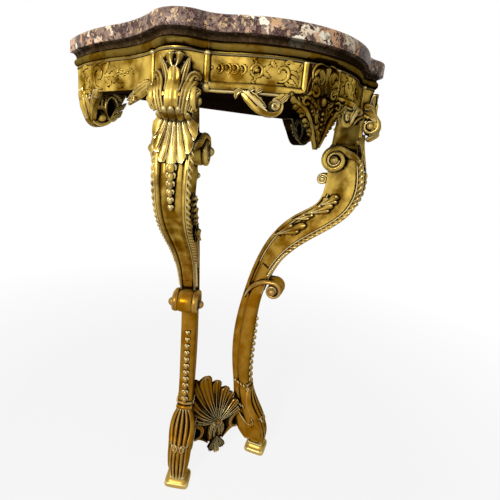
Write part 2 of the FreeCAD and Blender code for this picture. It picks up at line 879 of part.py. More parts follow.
def side_leaf():
    """Leaf under the right side rail, pointing down and back."""
    point, angle = side_point(side_leaf_y)
    leaf = plume(side_leaf_length, side_leaf_half_width, side_leaf_thickness, -relief_radius, 0,
                 180 - side_leaf_tilt)
    leaf.translate(up * (rail_bottom + side_leaf_lap))
    return place(leaf, point, angle)


def relief_ball():
    return Part.makeSphere(relief_radius, Vector(0, 0, relief_z))


def relief_ring(radius, proud):
    """Flat ring that stands out from a panel."""
    front = Vector(0, -proud, relief_z)
    back = Vector(0, proud, relief_z)
    return rod(radius + proud, front, back).cut(rod(radius - proud, front, back))


def panel_ornament():
    """Row of husks, a rosette and a scroll on the right front panel."""
    pieces = []
    for index in range(panel_husks):
        pieces.append(on_bow(relief_ball(), panel_husk_start_x - index * panel_husk_step))
    pieces.append(on_bow(relief_ring(rosette_radius, rosette_proud), rosette_x))
    pieces.append(on_bow(relief_ball(), rosette_x))
    pieces.append(on_bow(relief_ring(panel_scroll_radius, panel_scroll_proud), panel_scroll_x))
    return Part.makeCompound(pieces)


def on_bow(shape, x):
    turn = math.degrees(math.asin(x / face_radius))
    return place(shape, Vector(x, bow_face_y(x), 0), turn)


def side_ornament():
    """Scroll and a row of buds on the right side panel."""
    point, angle = side_point(side_scroll_y)
    pieces = [place(relief_ring(side_scroll_radius, side_scroll_proud), point, angle)]
    pieces.append(place(relief_ball(), point, angle))
    for index in range(side_buds):
        point, angle = side_point(side_bud_start_y + index * side_bud_step)
        pieces.append(place(relief_ball(), point, angle))
    return Part.makeCompound(pieces)


# Assembly
def save(name, shape):
    placed = shape.copy()
    placed.translate(up * -mount_height)
    placed.exportStep("parts/" + name + ".step")


def save_pair(name, right):
    save("right_" + name, right)
    save("left_" + name, mirrored(right))


def build():
    save("marble_top", marble_top())
    block = corner_block()
    left_rail, front_rail, right_rail = rails()
    board = back_rail()
    wedge = glue_block(right_rail)
    frame_pegs = rail_dowels(front_rail, right_rail)
    leg_pegs = [on_leg(peg) for peg in leg_dowels()]
    all_pegs = frame_pegs + leg_pegs
    both_pegs = all_pegs + [mirrored(peg) for peg in all_pegs]

    save("frame_dowels", Part.makeCompound(frame_pegs + [mirrored(peg) for peg in frame_pegs]))
    save("leg_dowels", Part.makeCompound(leg_pegs + [mirrored(peg) for peg in leg_pegs]))
    save("back_rail", trim(board, *both_pegs))
    save("front_rail", trim(front_rail, *both_pegs))
    save_pair("side_rail", trim(right_rail, *all_pegs))
    save_pair("corner_block", trim(block, *all_pegs))
    save("glue_blocks", Part.makeCompound([wedge, mirrored(wedge)]))

    front_bead, side_bead = top_moulding_runs()
    beads = corner_beads(block)
    panel_bead = trim(panel_moulding(), front_rail, *beads)
    walls = (block, front_rail, right_rail)
    save("top_moulding_front", front_bead)
    save_pair("top_moulding", side_bead)
    save_pair("corner_beads", trim(Part.makeCompound(beads), front_bead, side_bead, *walls))

    leg = on_leg(leg_blank())
    scroll = on_leg(mid_scroll())
    lengths = sorted(leg.cut(scroll).Solids, key=lambda solid: solid.Volume)[-2:]
    lower, upper = sorted(lengths, key=lambda solid: solid.CenterOfMass.z)
    foot = on_leg(foot_block())
    save_pair("upper_leg", trim(upper, *leg_pegs))
    save_pair("lower_leg", trim(lower, *leg_pegs))
    save_pair("mid_scroll", trim(scroll, *leg_pegs))
    save_pair("foot_block", trim(foot, *leg_pegs))

    head = trim(on_leg(head_scroll()), upper, block)
    knee = trim(on_leg(knee_scroll()), upper, head)
    curl = trim(on_leg(knee_curl()), upper, knee)
    leaf = trim(on_leg(corner_acanthus()), block, head, front_bead, side_bead, *beads)
    knot = trim(on_leg(shell_knot()), upper, head)
    shell = trim(on_leg(knee_shell()), upper, knot, head, knee)
    save_pair("head_scroll", head)
    save_pair("knee_scroll", Part.makeCompound(knee.Solids + curl.Solids))
    save_pair("corner_acanthus", leaf)
    save_pair("shell_knot", knot)
    save_pair("knee_shell", shell)
    upper_buds = husk_drop(upper_husk_shares, upper_husk_radius_share, -husk_growth_share)
    lower_buds = husk_drop(lower_husk_shares, lower_husk_radius_share, husk_growth_share)
    upper_husks = [trim(on_leg(bud), upper, shell) for bud in upper_buds]
    ankle = trim(on_leg(ankle_leaf()), lower, foot)
    lower_husks = [trim(on_leg(bud), lower, ankle) for bud in lower_buds]
    save_pair("upper_husks", Part.makeCompound(upper_husks))
    save_pair("lower_husks", Part.makeCompound(lower_husks))
    save_pair("ankle_leaf", ankle)

    hub = largest(trim(stretcher_palmette(), lower, mirrored(lower)))
    arm = largest(trim(stretcher_arm(), lower))
    right_arm = trim(arm, hub)
    left_arm = trim(mirrored(arm), hub)
    save("stretcher_palmette", hub)
    save("right_stretcher_arm", right_arm)
    save("left_stretcher_arm", left_arm)
    save("stretcher_drop", trim(stretcher_drop(), hub, right_arm, left_arm))

    shield = trim(centre_cartouche(), front_rail)
    plumes = trim(cartouche_shell(), front_rail, shield)
    border = trim(cartouche_scroll(), shield, front_rail, plumes)
    hanging = trim(apron_scroll(), front_rail, shield, border)
    panel_bead = trim(panel_bead, shield, border, plumes)
    save("centre_cartouche", shield)
    save("cartouche_shell", plumes)
    save_pair("cartouche_scroll", border)
    save_pair("apron_scroll", trim(hanging, panel_bead))
    save_pair("panel_moulding", panel_bead)
    bracket = trim(rear_pendant(), right_rail, board)
    save_pair("rear_pendant", bracket)
    save_pair("side_leaf", trim(side_leaf(), right_rail, bracket))
    save_pair("panel_ornament", trim(panel_ornament(), front_rail))
    save_pair("side_ornament", trim(side_ornament(), right_rail))


build()
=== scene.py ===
# %% [markdown]
# # A gilded wall console
# The table hangs on a wall by a plain back rail and stands on two S-shaped legs. Its marble top
# rests loose on a carved and gilded frame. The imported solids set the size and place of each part.
# They are loaded first and never moved. Blender adds the carving, drawn over the same main curves,
# and the finishes.

# %% Load the frame
import math

import bmesh
import bpy
import numpy as np
from mathutils import Matrix, Vector
from mathutils.bvhtree import BVHTree


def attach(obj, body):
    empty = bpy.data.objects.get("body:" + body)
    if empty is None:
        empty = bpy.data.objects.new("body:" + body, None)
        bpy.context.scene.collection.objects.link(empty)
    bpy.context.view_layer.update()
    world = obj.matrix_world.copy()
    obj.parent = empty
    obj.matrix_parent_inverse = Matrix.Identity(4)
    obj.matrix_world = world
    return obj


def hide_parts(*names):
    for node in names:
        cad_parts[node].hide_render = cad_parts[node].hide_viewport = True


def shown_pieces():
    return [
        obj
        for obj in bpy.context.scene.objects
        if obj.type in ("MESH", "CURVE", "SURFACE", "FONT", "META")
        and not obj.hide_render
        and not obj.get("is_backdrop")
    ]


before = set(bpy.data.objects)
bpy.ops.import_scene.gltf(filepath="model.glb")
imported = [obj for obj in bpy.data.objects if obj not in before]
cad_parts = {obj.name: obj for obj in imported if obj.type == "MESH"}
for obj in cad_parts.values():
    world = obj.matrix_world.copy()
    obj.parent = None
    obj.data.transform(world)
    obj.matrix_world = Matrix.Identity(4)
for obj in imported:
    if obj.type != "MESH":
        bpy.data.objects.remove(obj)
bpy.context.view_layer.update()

MM = 0.001
MOUNT = 823.5  # height of the frame's origin above the floor, in mm
print("solids loaded:", len(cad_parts))

# %% [markdown]
# ## Shells of carved wood
# Carving is many small closed forms that sink into the wood below them. Each one here is a stack of
# rings, joined ring to ring and closed at both ends. Sculpting by hand would be freer, but rings
# keep every leaf, stem and bead editable by a few sizes, and every shell watertight.

# %% Gather shells
class Carving:
    """Closed shells, gathered in millimetres above the floor; the host is the surface they lie on."""

    def __init__(self, host=None):
        self.host = host
        self.points = []
        self.faces = []
        self.count = 0

    def add(self, rings):
        rings = np.asarray(rings, float)
        rows, cols = rings.shape[:2]
        index = self.count + np.arange(rows * cols).reshape(rows, cols)
        near, far = index[:-1], index[1:]
        quads = np.stack([near, np.roll(near, -1, 1), np.roll(far, -1, 1), far], -1)
        self.faces.extend(quads.reshape(-1, 4).tolist())
        first, last = self.count + rows * cols, self.count + rows * cols + 1
        for k in range(cols):
            after = (k + 1) % cols
            self.faces.append([first, int(index[0, after]), int(index[0, k])])
            self.faces.append([last, int(index[-1, k]), int(index[-1, after])])
        self.points.append(rings.reshape(-1, 3))
        self.points.append(rings[[0, -1]].mean(1))
        self.count += rows * cols + 2


# %% [markdown]
# Each carving becomes one piece that rides on the frame and takes the place of its plain solid, where
# it has one. What the right side has, the left side has as a mirror image.

# %% Turn shells into pieces
SHARP = math.radians(50)
gilded = []


def mesh_of(name, points, faces):
    mesh = bpy.data.meshes.new(name)
    mesh.from_pydata(points, [], faces)
    work = bmesh.new()
    work.from_mesh(mesh)
    bmesh.ops.remove_doubles(work, verts=work.verts, dist=0.01 * MM)
    bmesh.ops.recalc_face_normals(work, faces=work.faces)
    work.to_mesh(mesh)
    work.free()
    mesh.shade_smooth()
    mesh.set_sharp_from_angle(angle=SHARP)
    return mesh


def gild(name, mesh, nodes):
    piece = bpy.data.objects.new(name, mesh)
    bpy.context.scene.collection.objects.link(piece)
    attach(piece, "frame")
    if nodes:
        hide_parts(*nodes)
    gilded.append(piece)


def to_piece(name, carving, *nodes, flip=1):
    points = np.concatenate(carving.points) * (flip, 1, 1)
    gild(name, mesh_of(name, ((points - (0, 0, MOUNT)) * MM).tolist(), carving.faces), nodes)


def both_sides(name, carving, *nodes):
    for side, flip in (("right_", 1), ("left_", -1)):
        to_piece(side + name, carving, *[side + node for node in nodes], flip=flip)
    print(name, "points on each side:", carving.count)


# %% [markdown]
# ## Lines, leaves, stems and beads
# A carver works from a few chosen points and a steady hand between them. A cubic curve through
# chosen points does the same.

# %% Curves through chosen points
def smooth(points, count):
    """Even points along a curve that passes through a few chosen ones."""
    points = np.asarray(points, float)
    if len(points) == 2:
        return points[0] + np.linspace(0, 1, count)[:, None] * (points[1] - points[0])
    knots = np.r_[0, np.cumsum(np.sqrt(np.linalg.norm(np.diff(points, axis=0), axis=1)))]
    last, gap = len(points) - 1, np.diff(knots)
    matrix, pull = np.eye(last + 1), np.zeros_like(points)
    for i in range(1, last):
        matrix[i, i - 1:i + 2] = gap[i - 1], 2 * (gap[i - 1] + gap[i]), gap[i]
        pull[i] = 6 * ((points[i + 1] - points[i]) / gap[i] - (points[i] - points[i - 1]) / gap[i - 1])
    bend = np.linalg.solve(matrix, pull)
    fine = np.linspace(0, knots[-1], 12 * count)
    k = np.clip(np.searchsorted(knots, fine, side="right") - 1, 0, last - 1)
    start, end, h = (fine - knots[k])[:, None], (knots[k + 1] - fine)[:, None], gap[k][:, None]
    curve = (bend[k] * end ** 3 + bend[k + 1] * start ** 3) / (6 * h)
    curve += (points[k] / h - bend[k] * h / 6) * end + (points[k + 1] / h - bend[k + 1] * h / 6) * start
    run = np.r_[0, np.cumsum(np.linalg.norm(np.diff(curve, axis=0), axis=1))]
    even = np.linspace(0, run[-1], count)
    return np.stack([np.interp(even, run, curve[:, d]) for d in range(points.shape[1])], 1)


def beside(line):
    """Unit direction to the left of a flat line, at each of its points."""
    step = np.gradient(line, axis=0)
    step /= np.linalg.norm(step, axis=1)[:, None]
    return step[:, ::-1] * (-1, 1)


# %% [markdown]
# Volutes shrink by the same share at every step, as in a snail shell. Most ornament is drawn on one
# side of a middle line and mirrored to the other.

# %% Volutes, mirrors and directions
def curl(centre, first, last, outer, inner, count=24):
    """Points of a volute that winds in from the outer radius, angles in degrees."""
    t = np.linspace(0, 1, count)
    angle = np.radians(first + (last - first) * t)
    radius = outer * (inner / outer) ** t
    return np.stack([centre[0] + radius * np.cos(angle), centre[1] + radius * np.sin(angle)], 1)


def mirrored(side, *points):
    """Points on the right (1) or the left (-1) of a middle line."""
    return [(side * a, b) for a, b in points]


def ray_at(degrees):
    """Direction that leans from straight up by an angle."""
    return np.array([math.sin(math.radians(degrees)), math.cos(math.radians(degrees))])


# %% [markdown]
# Leaves, petals, stems and beads are drawn flat, as position (a, b) and height h. The carving's host
# then lays them on a rail, a block or a leg. A leaf is a strip with ridges and a notched edge, whose
# lower side sinks into the wood.

# %% Leaves
def pad(carving, line, half, height, floor, push=0.0):
    """Ridged strip: height has a row for each point of the line, a column across."""
    aside = beside(line)
    push = np.broadcast_to(push, height.shape)
    push = np.concatenate([push, np.repeat(push.min(1)[:, None], 3, 1)], 1)
    v = np.linspace(-1, 1, height.shape[1])
    low = np.array([1.0, 0.0, -1.0])
    spread = np.concatenate([np.broadcast_to(v, height.shape), np.tile(low, (len(line), 1))], 1)
    level = np.concatenate([height, np.repeat(floor[:, None], 3, 1)], 1)
    a = line[:, 0, None] + aside[:, 0, None] * half[:, None] * spread + aside[:, 1, None] * push
    b = line[:, 1, None] + aside[:, 1, None] * half[:, None] * spread - aside[:, 0, None] * push
    carving.add(carving.host(a, b, level))


def leaf(carving, spine, width, lobes, relief, rise=0.0, lift=0.0, notch=0.2, sink=2.5, count=26):
    """Acanthus leaf: a notched edge, three ridges and a tip that lifts off the ground."""
    line = smooth(spine, count)
    t = np.linspace(0, 1, count)
    body = (0.35 + 0.65 * np.sin(np.pi * t ** 0.75)) * np.sqrt(np.clip(1 - t ** 6, 0.004, 1))
    saw = 1 - notch * (0.5 + 0.5 * np.cos(2 * np.pi * lobes * t)) * np.clip(4 * t, 0, 1)
    v = np.linspace(-1, 1, 13)
    ridges = 0.7 * (1 - v ** 2) + 0.3 * np.cos(1.5 * np.pi * v) ** 2
    raised = rise + lift * t ** 3
    height = raised[:, None] + relief * (0.3 + 0.7 * body)[:, None] * ridges
    pad(carving, line, width * body * saw, height, np.maximum(raised - 3, -sink))


def leaves(carving, spines, *sizes, **more):
    for spine in spines:
        leaf(carving, spine, *sizes, **more)


# %% [markdown]
# A petal widens to a round end, and a sprig is three plump ones from one root.

# %% Petals and sprigs
def petal(carving, spine, base, tip, relief, rise=0.0, lift=0.0, veins=1, sink=2.5, count=18, scallop=0.0):
    """Lobe that widens to a round or scalloped end, with a raised middle and a groove beside each vein."""
    line = smooth(spine, count)
    t = np.linspace(0, 1, count)
    round_end = np.sqrt(np.clip(1 - np.clip((t - 0.86) / 0.14, 0, 1) ** 2, 0.01, 1))
    half = (base + (tip - base) * t) * (0.6 + 0.4 * round_end if scallop else round_end)
    v = np.linspace(-1, 1, 4 * veins + 9)
    push = scallop * (t ** 6)[:, None] * (np.cos(1.5 * np.pi * v) ** 2 - 1 - 0.9 * v ** 2)
    crown = 0.7 * np.sqrt(np.clip(1 - v ** 2, 0, 1)) + 0.3 * np.cos((veins + 0.5) * np.pi * v) ** 2
    raised = rise + lift * t ** 3
    height = raised[:, None] + relief * (0.6 + 0.4 * round_end)[:, None] * crown
    pad(carving, line, half, height, np.maximum(raised - 3, -sink), push)


def ray_petal(carving, ray, centre, start, length, *sizes, **more):
    """Straight petal out of a centre."""
    petal(carving, [ray * start + centre, ray * 0.6 * length + centre, ray * length + centre], *sizes, **more)


def sprig(carving, root, towards, size, rise=0.4, sink=2.5):
    """Spray of a long plump lobe between two shorter ones whose tips roll forward."""
    root, ray = np.array(root, float), np.array(towards, float)
    ray /= np.linalg.norm(ray)
    aside = np.array([-ray[1], ray[0]])
    for way, length, tip_half in ((-1, 0.62, 0.15), (1, 0.76, 0.16), (0, 1.0, 0.19)):
        bend = root + (0.5 * length * ray + 0.08 * way * aside) * size
        tip = root + (length * ray + 0.22 * way * aside) * size
        petal(carving, [root, bend, tip], 0.05 * size, tip_half * size, 0.12 * size, rise + (way == 0),
              lift=0.1 * size, veins=0, sink=sink, count=16)


# %% [markdown]
# Stems and beads are round. A husk is three short stems that open like a bud.

# %% Stems, beads and husks
def stem(carving, path, thick, rise=0.0, flat=0.85, ridge=0.0, count=44, sides=10):
    """Round bar along a flat path, its thickness given at a few places along it."""
    line = smooth(path, count)
    aside = beside(line)
    radius = np.interp(np.linspace(0, 1, count), np.linspace(0, 1, len(thick)), thick)
    angle = np.arange(sides) * 2 * np.pi / sides
    shape = 1 - ridge * np.cos(2 * angle) ** 2
    out = radius[:, None] * shape * np.cos(angle)
    level = rise + flat * radius[:, None] * shape * np.sin(angle)
    carving.add(carving.host(line[:, 0, None] + aside[:, 0, None] * out,
                             line[:, 1, None] + aside[:, 1, None] * out, level))


def bead(carving, a, b, radius, rise=0.0, tall=1.0, sides=12):
    """Ball, or a taller drop, that stands half out of its ground."""
    polar = np.linspace(0.06, 0.94, 8)[:, None] * np.pi
    angle = np.arange(sides) * 2 * np.pi / sides
    carving.add(carving.host(a + radius * np.sin(polar) * np.cos(angle),
                             b + radius * tall * np.cos(polar) * np.ones(sides),
                             rise + radius * np.sin(polar) * np.sin(angle)))


def husk(carving, a, b, size, turn):
    """Three-lobed bud, pointing along the turn angle in degrees."""
    point = np.array([math.cos(math.radians(turn)), math.sin(math.radians(turn))])
    aside = np.array([-point[1], point[0]])
    start = np.array([a, b])
    for step in (-1, 0, 1):
        middle = start + aside * step * 0.55 * size
        tip = start + point * size * (1.5 if step == 0 else 1.0) + aside * step * 0.75 * size
        stem(carving, [start - point * 0.3 * size, middle, tip],
             [0.25 * size, 0.55 * size, 0.45 * size, 0.12 * size], 0.2 * size if step == 0 else 0, count=9, sides=8)


# %% [markdown]
# ## Hosts: the apron and the legs
# The plan of the apron is five tangent compass arcs on each side. The centre of a hollow arc follows
# from the two round ones that it touches.

# %% Draw the plan of the apron
BOW, LOBE = np.array([0.0, -111.0]), np.array([174.0, -224.0])
BOW_RADIUS, FRONT_HOLLOW, LOBE_RADIUS, SIDE_HOLLOW, EAR_RADIUS = 208, 72, 36, 212, 318
HALF_WIDTH, MARBLE_EAR, EAR_SET = 284, 330, 20
EAR = np.array([HALF_WIDTH - math.sqrt(MARBLE_EAR ** 2 - EAR_SET ** 2), float(EAR_SET)])


def hollow_centre(first, reach, second, other, towards):
    """Centre of a hollow arc that touches two round ones."""
    line = second - first
    gap = np.linalg.norm(line)
    along = line / gap
    aside = np.array([-along[1], along[0]])
    aside *= np.sign(aside @ towards)
    run = (reach ** 2 - other ** 2 + gap ** 2) / (2 * gap)
    return first + along * run + aside * math.sqrt(reach ** 2 - run ** 2)


def compass(centre, point):
    return math.atan2(*(point - centre)[::-1])


def plan_line(step=0.5):
    """Points, outward directions and run of the right half of the apron's face."""
    front = hollow_centre(BOW, BOW_RADIUS + FRONT_HOLLOW, LOBE, LOBE_RADIUS + FRONT_HOLLOW, np.array([0, -1]))
    side = hollow_centre(LOBE, LOBE_RADIUS + SIDE_HOLLOW, EAR, EAR_RADIUS + SIDE_HOLLOW, np.array([1, 0]))
    arcs = [(BOW, BOW_RADIUS, -math.pi / 2, compass(BOW, front), 1),
            (front, FRONT_HOLLOW, compass(front, BOW), compass(front, LOBE), -1),
            (LOBE, LOBE_RADIUS, compass(LOBE, front), compass(LOBE, side), 1),
            (side, SIDE_HOLLOW, compass(side, LOBE), compass(side, EAR), -1),
            (EAR, EAR_RADIUS, compass(EAR, side), math.asin(-EAR_SET / EAR_RADIUS), 1)]
    points, normals = [], []
    for centre, radius, first, last, way in arcs:
        swing = (last - first + math.pi) % (2 * math.pi) - math.pi
        angle = first + swing * np.linspace(0, 1, max(8, int(abs(swing) * radius / step)))
        ray = np.stack([np.cos(angle), np.sin(angle)], 1)
        points.append(centre + radius * ray)
        normals.append(way * ray)
    points, normals = np.concatenate(points), np.concatenate(normals)
    run = np.r_[0, np.cumsum(np.linalg.norm(np.diff(points, axis=0), axis=1))]
    return points, normals, run


PLAN, PLAN_OUT, PLAN_RUN = plan_line()
print("points on the plan:", len(PLAN))


# %% [markdown]
# A host turns a flat place and a height into a point in space. On the apron the flat place is the
# distance s along the plan from its middle and the height z above the floor.

# %% The apron as a host
def apron(s, z, h):
    """Face of the rails and corner block: distance from the middle, height, and height off the face."""
    s, z, h = np.broadcast_arrays(s, z, h)
    flip = np.sign(s) + (s == 0)
    at = [np.interp(np.abs(s), PLAN_RUN, column) for column in (*PLAN.T, *PLAN_OUT.T)]
    return np.stack([flip * (at[0] + at[2] * h), at[1] + at[3] * h, z], -1)


def bow_s(x):
    """Distance along the bow to a place at x."""
    return BOW_RADIUS * math.asin(x / BOW_RADIUS)


def on_bow(*points):
    return [(bow_s(x), z) for x, z in points]


LEG_TURN = math.radians(38)
BLOCK_HALF = 38
BLOCK_FACE = LOBE + LOBE_RADIUS * np.array([math.sin(LEG_TURN), -math.cos(LEG_TURN)])
block_x = (PLAN - BLOCK_FACE) @ (math.cos(LEG_TURN), math.sin(LEG_TURN))
BLOCK_IN, BLOCK_OUT = (PLAN_RUN[np.argmin(np.abs(block_x - x))] for x in (-BLOCK_HALF, BLOCK_HALF))
SIDE_RUN = PLAN_RUN[-1]
print("apron run in mm:", round(SIDE_RUN), "block from", round(BLOCK_IN), "to", round(BLOCK_OUT))

# %% [markdown]
# The legs lie in planes at 38 degrees. Their front and back edges are curves through the same shares
# of set-back and height that size the solids. The lower leg is a few millimetres wider than its solid.

# %% Draw the edges of the leg
SWEEP, RISE, FOOT, LEG_HALF, SIDE_SUNK = 223.0, 760.0, 30.0, 25.0, 2.6
FRONT_SHARES = ((0.036, 1.0), (0.031, 0.934), (-0.031, 0.845), (0.036, 0.763), (0.296, 0.693), (0.583, 0.611),
                (0.762, 0.480), (0.798, 0.342), (0.771, 0.166), (0.592, 0.050), (0.587, 0.0))
BACK_SHARES = ((0.251, 1.0), (0.269, 0.882), (0.314, 0.787), (0.529, 0.737), (0.762, 0.651), (0.915, 0.518),
               (0.996, 0.382), (0.991, 0.254), (0.928, 0.132), (0.879, 0.046), (0.780, 0.0))
WIDTH_SHARES = ((0.90, 1.0), (1.0, 0.93), (1.0, 0.85), (0.80, 0.72), (0.64, 0.60), (0.62, 0.50), (0.62, 0.25),
                (0.62, 0.20), (0.67, 0.172), (0.92, 0.125), (0.97, 0.09), (0.90, 0.05), (0.85, 0.022), (0.72, 0.0))
PAIR_SHARES = ((0, 0), (0.05, 0.09), (0.166, 0.19), (0.342, 0.36), (0.48, 0.505), (0.611, 0.651), (0.693, 0.737),
               (0.72, 0.757), (0.763, 0.787), (0.845, 0.835), (0.934, 0.93), (1, 1))


def share_curve(shares, scale):
    line = smooth(np.array(shares)[::-1] * (scale, RISE) + (0, FOOT), 500)
    return lambda z: np.interp(z, line[:, 1], line[:, 0])


front_y, back_y = share_curve(FRONT_SHARES, SWEEP), share_curve(BACK_SHARES, SWEEP)
half_width = share_curve(WIDTH_SHARES, LEG_HALF)
print("set-back in mm at the top, middle and foot:", *(round(float(front_y(FOOT + RISE * t))) for t in (1, 0.5, 0)))


# %% [markdown]
# Ornament lies on the front of the leg or on its sides. A station is one cut across the leg, about
# square to its curve rather than level.

# %% The legs as hosts
def leg(x, y, z):
    """Right leg: distance across it, set-back from the face of the corner block, height."""
    x, y, z = np.broadcast_arrays(x, y, z)
    c, s = math.cos(LEG_TURN), math.sin(LEG_TURN)
    return np.stack([BLOCK_FACE[0] + x * c - y * s, BLOCK_FACE[1] + x * s + y * c, z], -1)


def leg_front(wrap):
    """Front face of the leg as a host; wrap bends the ornament back round the sides."""
    def host(x, z, h):
        lean = (front_y(z + 1) - front_y(z - 1)) / 2
        length = np.sqrt(1 + lean ** 2)
        return leg(x, front_y(z) - h / length + wrap * x ** 2, z + h * lean / length)
    return host


def station(t):
    """Front point, direction to the back, depth and half width of the leg at a share of its height."""
    pair = np.array(PAIR_SHARES)
    low = FOOT + RISE * t
    high = FOOT + RISE * np.interp(t, pair[:, 0], pair[:, 1])
    front = np.array([front_y(low), low])
    line = np.array([back_y(high), high]) - front
    depth = np.linalg.norm(line)
    return front, line / depth, depth, half_width((low + high) / 2)


def leg_side(side):
    """Side face of the leg as a host: set-back from the front edge, height share in mm, height off it."""
    def host(a, b, h):
        a, b, h = np.broadcast_arrays(a, b, h)
        out = np.empty(a.shape + (3,))
        for index in np.ndindex(a.shape):
            front, back, depth, half = station(b[index] / RISE)
            y, z = front + back * a[index]
            out[index] = leg(side * (half - SIDE_SUNK + h[index]), y, z)
        return out
    return host


print("leg width in mm at the knee and the ankle:", *(round(2 * station(t)[3]) for t in (0.85, 0.2)))

# %% [markdown]
# ## Legs
# Each leg is sawn to its S-curve, then its front is sunk between two raised borders and its sides
# are sunk between a rope edge and a plain one. A loft does this: one outline, stretched to the
# leg's depth and width at every height. The two lengths meet under the scroll at mid height.

# %% Outlines across the leg
def leg_outline(half, depth):
    """Right half of the cut across the leg: distance across, set-back from the front."""
    edge, sunk = 0.22 * half, 0.14 * half
    flute = half - 1.6 * edge
    front = [(0, sunk), (0.3 * flute, sunk), (0.5 * flute, 0.55 * sunk), (0.68 * flute, 0.45 * sunk),
             (0.86 * flute, 0.9 * sunk), (flute, 1.2 * sunk), (half - 1.25 * edge, 0.4), (half - 0.8 * edge, -0.7),
             (half - 0.45 * edge, 0.2), (half - 1.2, -0.4), (half, 1.0), (half, 7.2)]
    field = [(half - 2.2 - 1.4 * math.sin(math.pi * t), 9.4 + t * (depth - 18.2)) for t in np.linspace(0, 1, 9)]
    back = [(half, depth - 6.2), (half, depth - 1.2), (half - 1.5, depth), (0.5 * half, depth + 0.3),
            (0, depth + 0.3)]
    return front + field + back


def shaft_outline(half, depth):
    """Right half of the cut across the lower leg: a rounded shaft before a flat back."""
    front = [(0, -0.6), (0.25 * half, -0.4), (0.5 * half, 0.3), (0.72 * half, 1.5), (0.9 * half, 3.6), (half, 7.0)]
    swell = [(half + 0.8 * math.sin(math.pi * t), 7 + t * (0.58 * depth - 7)) for t in np.linspace(0.15, 1, 7)]
    back = [(half - 2.2, 0.61 * depth), (half - 3.4, 0.65 * depth), (half - 3.2, 0.70 * depth),
            (half - 1.2, 0.74 * depth), (half - 0.8, 0.86 * depth), (half - 1.2, depth - 1.5), (half - 2.6, depth),
            (0.5 * half, depth + 0.3), (0, depth + 0.3)]
    return front + swell + back


def leg_length(shares, outline):
    rings = []
    for t in shares:
        front, back, depth, half = station(t)
        right = np.array(outline(half, depth))
        cut = np.concatenate([right, right[-2:0:-1] * (-1, 1)])
        rings.append(leg(cut[:, 0], front[0] + back[0] * cut[:, 1], front[1] + back[1] * cut[:, 1]))
    return rings


# %% [markdown]
# The upper length has a rope along the front of each side, two raised lines and sprays of leaves.
# The lower length has a few pearls and a curled line at the ankle.

# %% Loft and carve the two lengths
ROPE_SET, ROPE_OUT, ROPE_RADIUS, ROPE_PITCH = 4.4, 0.3, 3.9, 21.0


def rope(carving, first, last, side):
    """Twisted edge along the front of the leg's side."""
    angle = np.arange(12) * 2 * np.pi / 12
    rings, run, before = [], 0.0, None
    for t in np.linspace(first, last, 240):
        front, back, depth, half = station(t)
        centre = front + back * ROPE_SET
        run += 0 if before is None else np.linalg.norm(centre - before)
        before = centre
        lobes = ROPE_RADIUS * (0.95 + 0.26 * np.cos(2 * angle - side * 4 * np.pi * run / ROPE_PITCH))
        x, a = side * (half + ROPE_OUT) + lobes * np.cos(angle), lobes * np.sin(angle)
        rings.append(leg(x, centre[0] + back[0] * a, centre[1] + back[1] * a))
    carving.add(rings)


upper = Carving()
upper.add(leg_length(np.linspace(1.0, 0.5, 150), leg_outline))
neck = leg_length(np.linspace(0.935, 0.917, 6), leg_outline)
middle = np.array(neck).mean(1)
upper.add([at + (ring - at) * grow for ring, at, grow in zip(neck, middle, (1.0, 1.06, 1.09, 1.09, 1.06, 1.0))])
for side in (-1, 1):
    rope(upper, 0.897, 0.63, side)
    upper.host = leg_side(side)
    for first, setback in ((0.885, lambda t: 10.5), (0.80, lambda t: station(t)[2] - 9.5)):
        line = [(setback(t), RISE * t) for t in np.linspace(first, 0.56, 14)]
        stem(upper, line, [1.0, 1.7, 1.7, 1.0], rise=0.4, count=60, sides=8)
    for t, reach in ((0.645, 44), (0.690, 28), (0.714, 46), (0.748, 44)):
        sprig(upper, (station(t)[2] - 6, RISE * t), (-0.42, 1), reach, rise=0.8)
both_sides("upper_leg_carved", upper, "upper_leg")

lower = Carving()
lower.add(leg_length(np.linspace(0.57, 0.0, 130), shaft_outline))
for side in (-1, 1):
    lower.host = leg_side(side)
    for a, b, radius in ((12, 137, 3.4), (20, 136, 3.4), (28, 136, 3.2), (36, 137, 2.8), (32, 80, 3.0),
                         (40, 78, 3.2), (48, 78, 3.0)):
        bead(lower, a, b, radius, rise=3.6)
    stem(lower, [(18, 60), (23, 42), (36, 33), (50, 40), (57, 54), (50, 62)],
         [1.6, 2.2, 2.6, 2.6, 2.4, 1.8], rise=3.4)
both_sides("lower_leg_carved", lower, "lower_leg")

# %% [markdown]
# ## Scrolls across the leg
# A scroll is a wide ribbon rolled up. Its end shows a raised spiral round a sunken web, with a turned
# button at the eye. Extruding a flat spiral would give sharp paper edges, so the ribbon gets a
# rolled rim on each side and a shallow swelling between them.

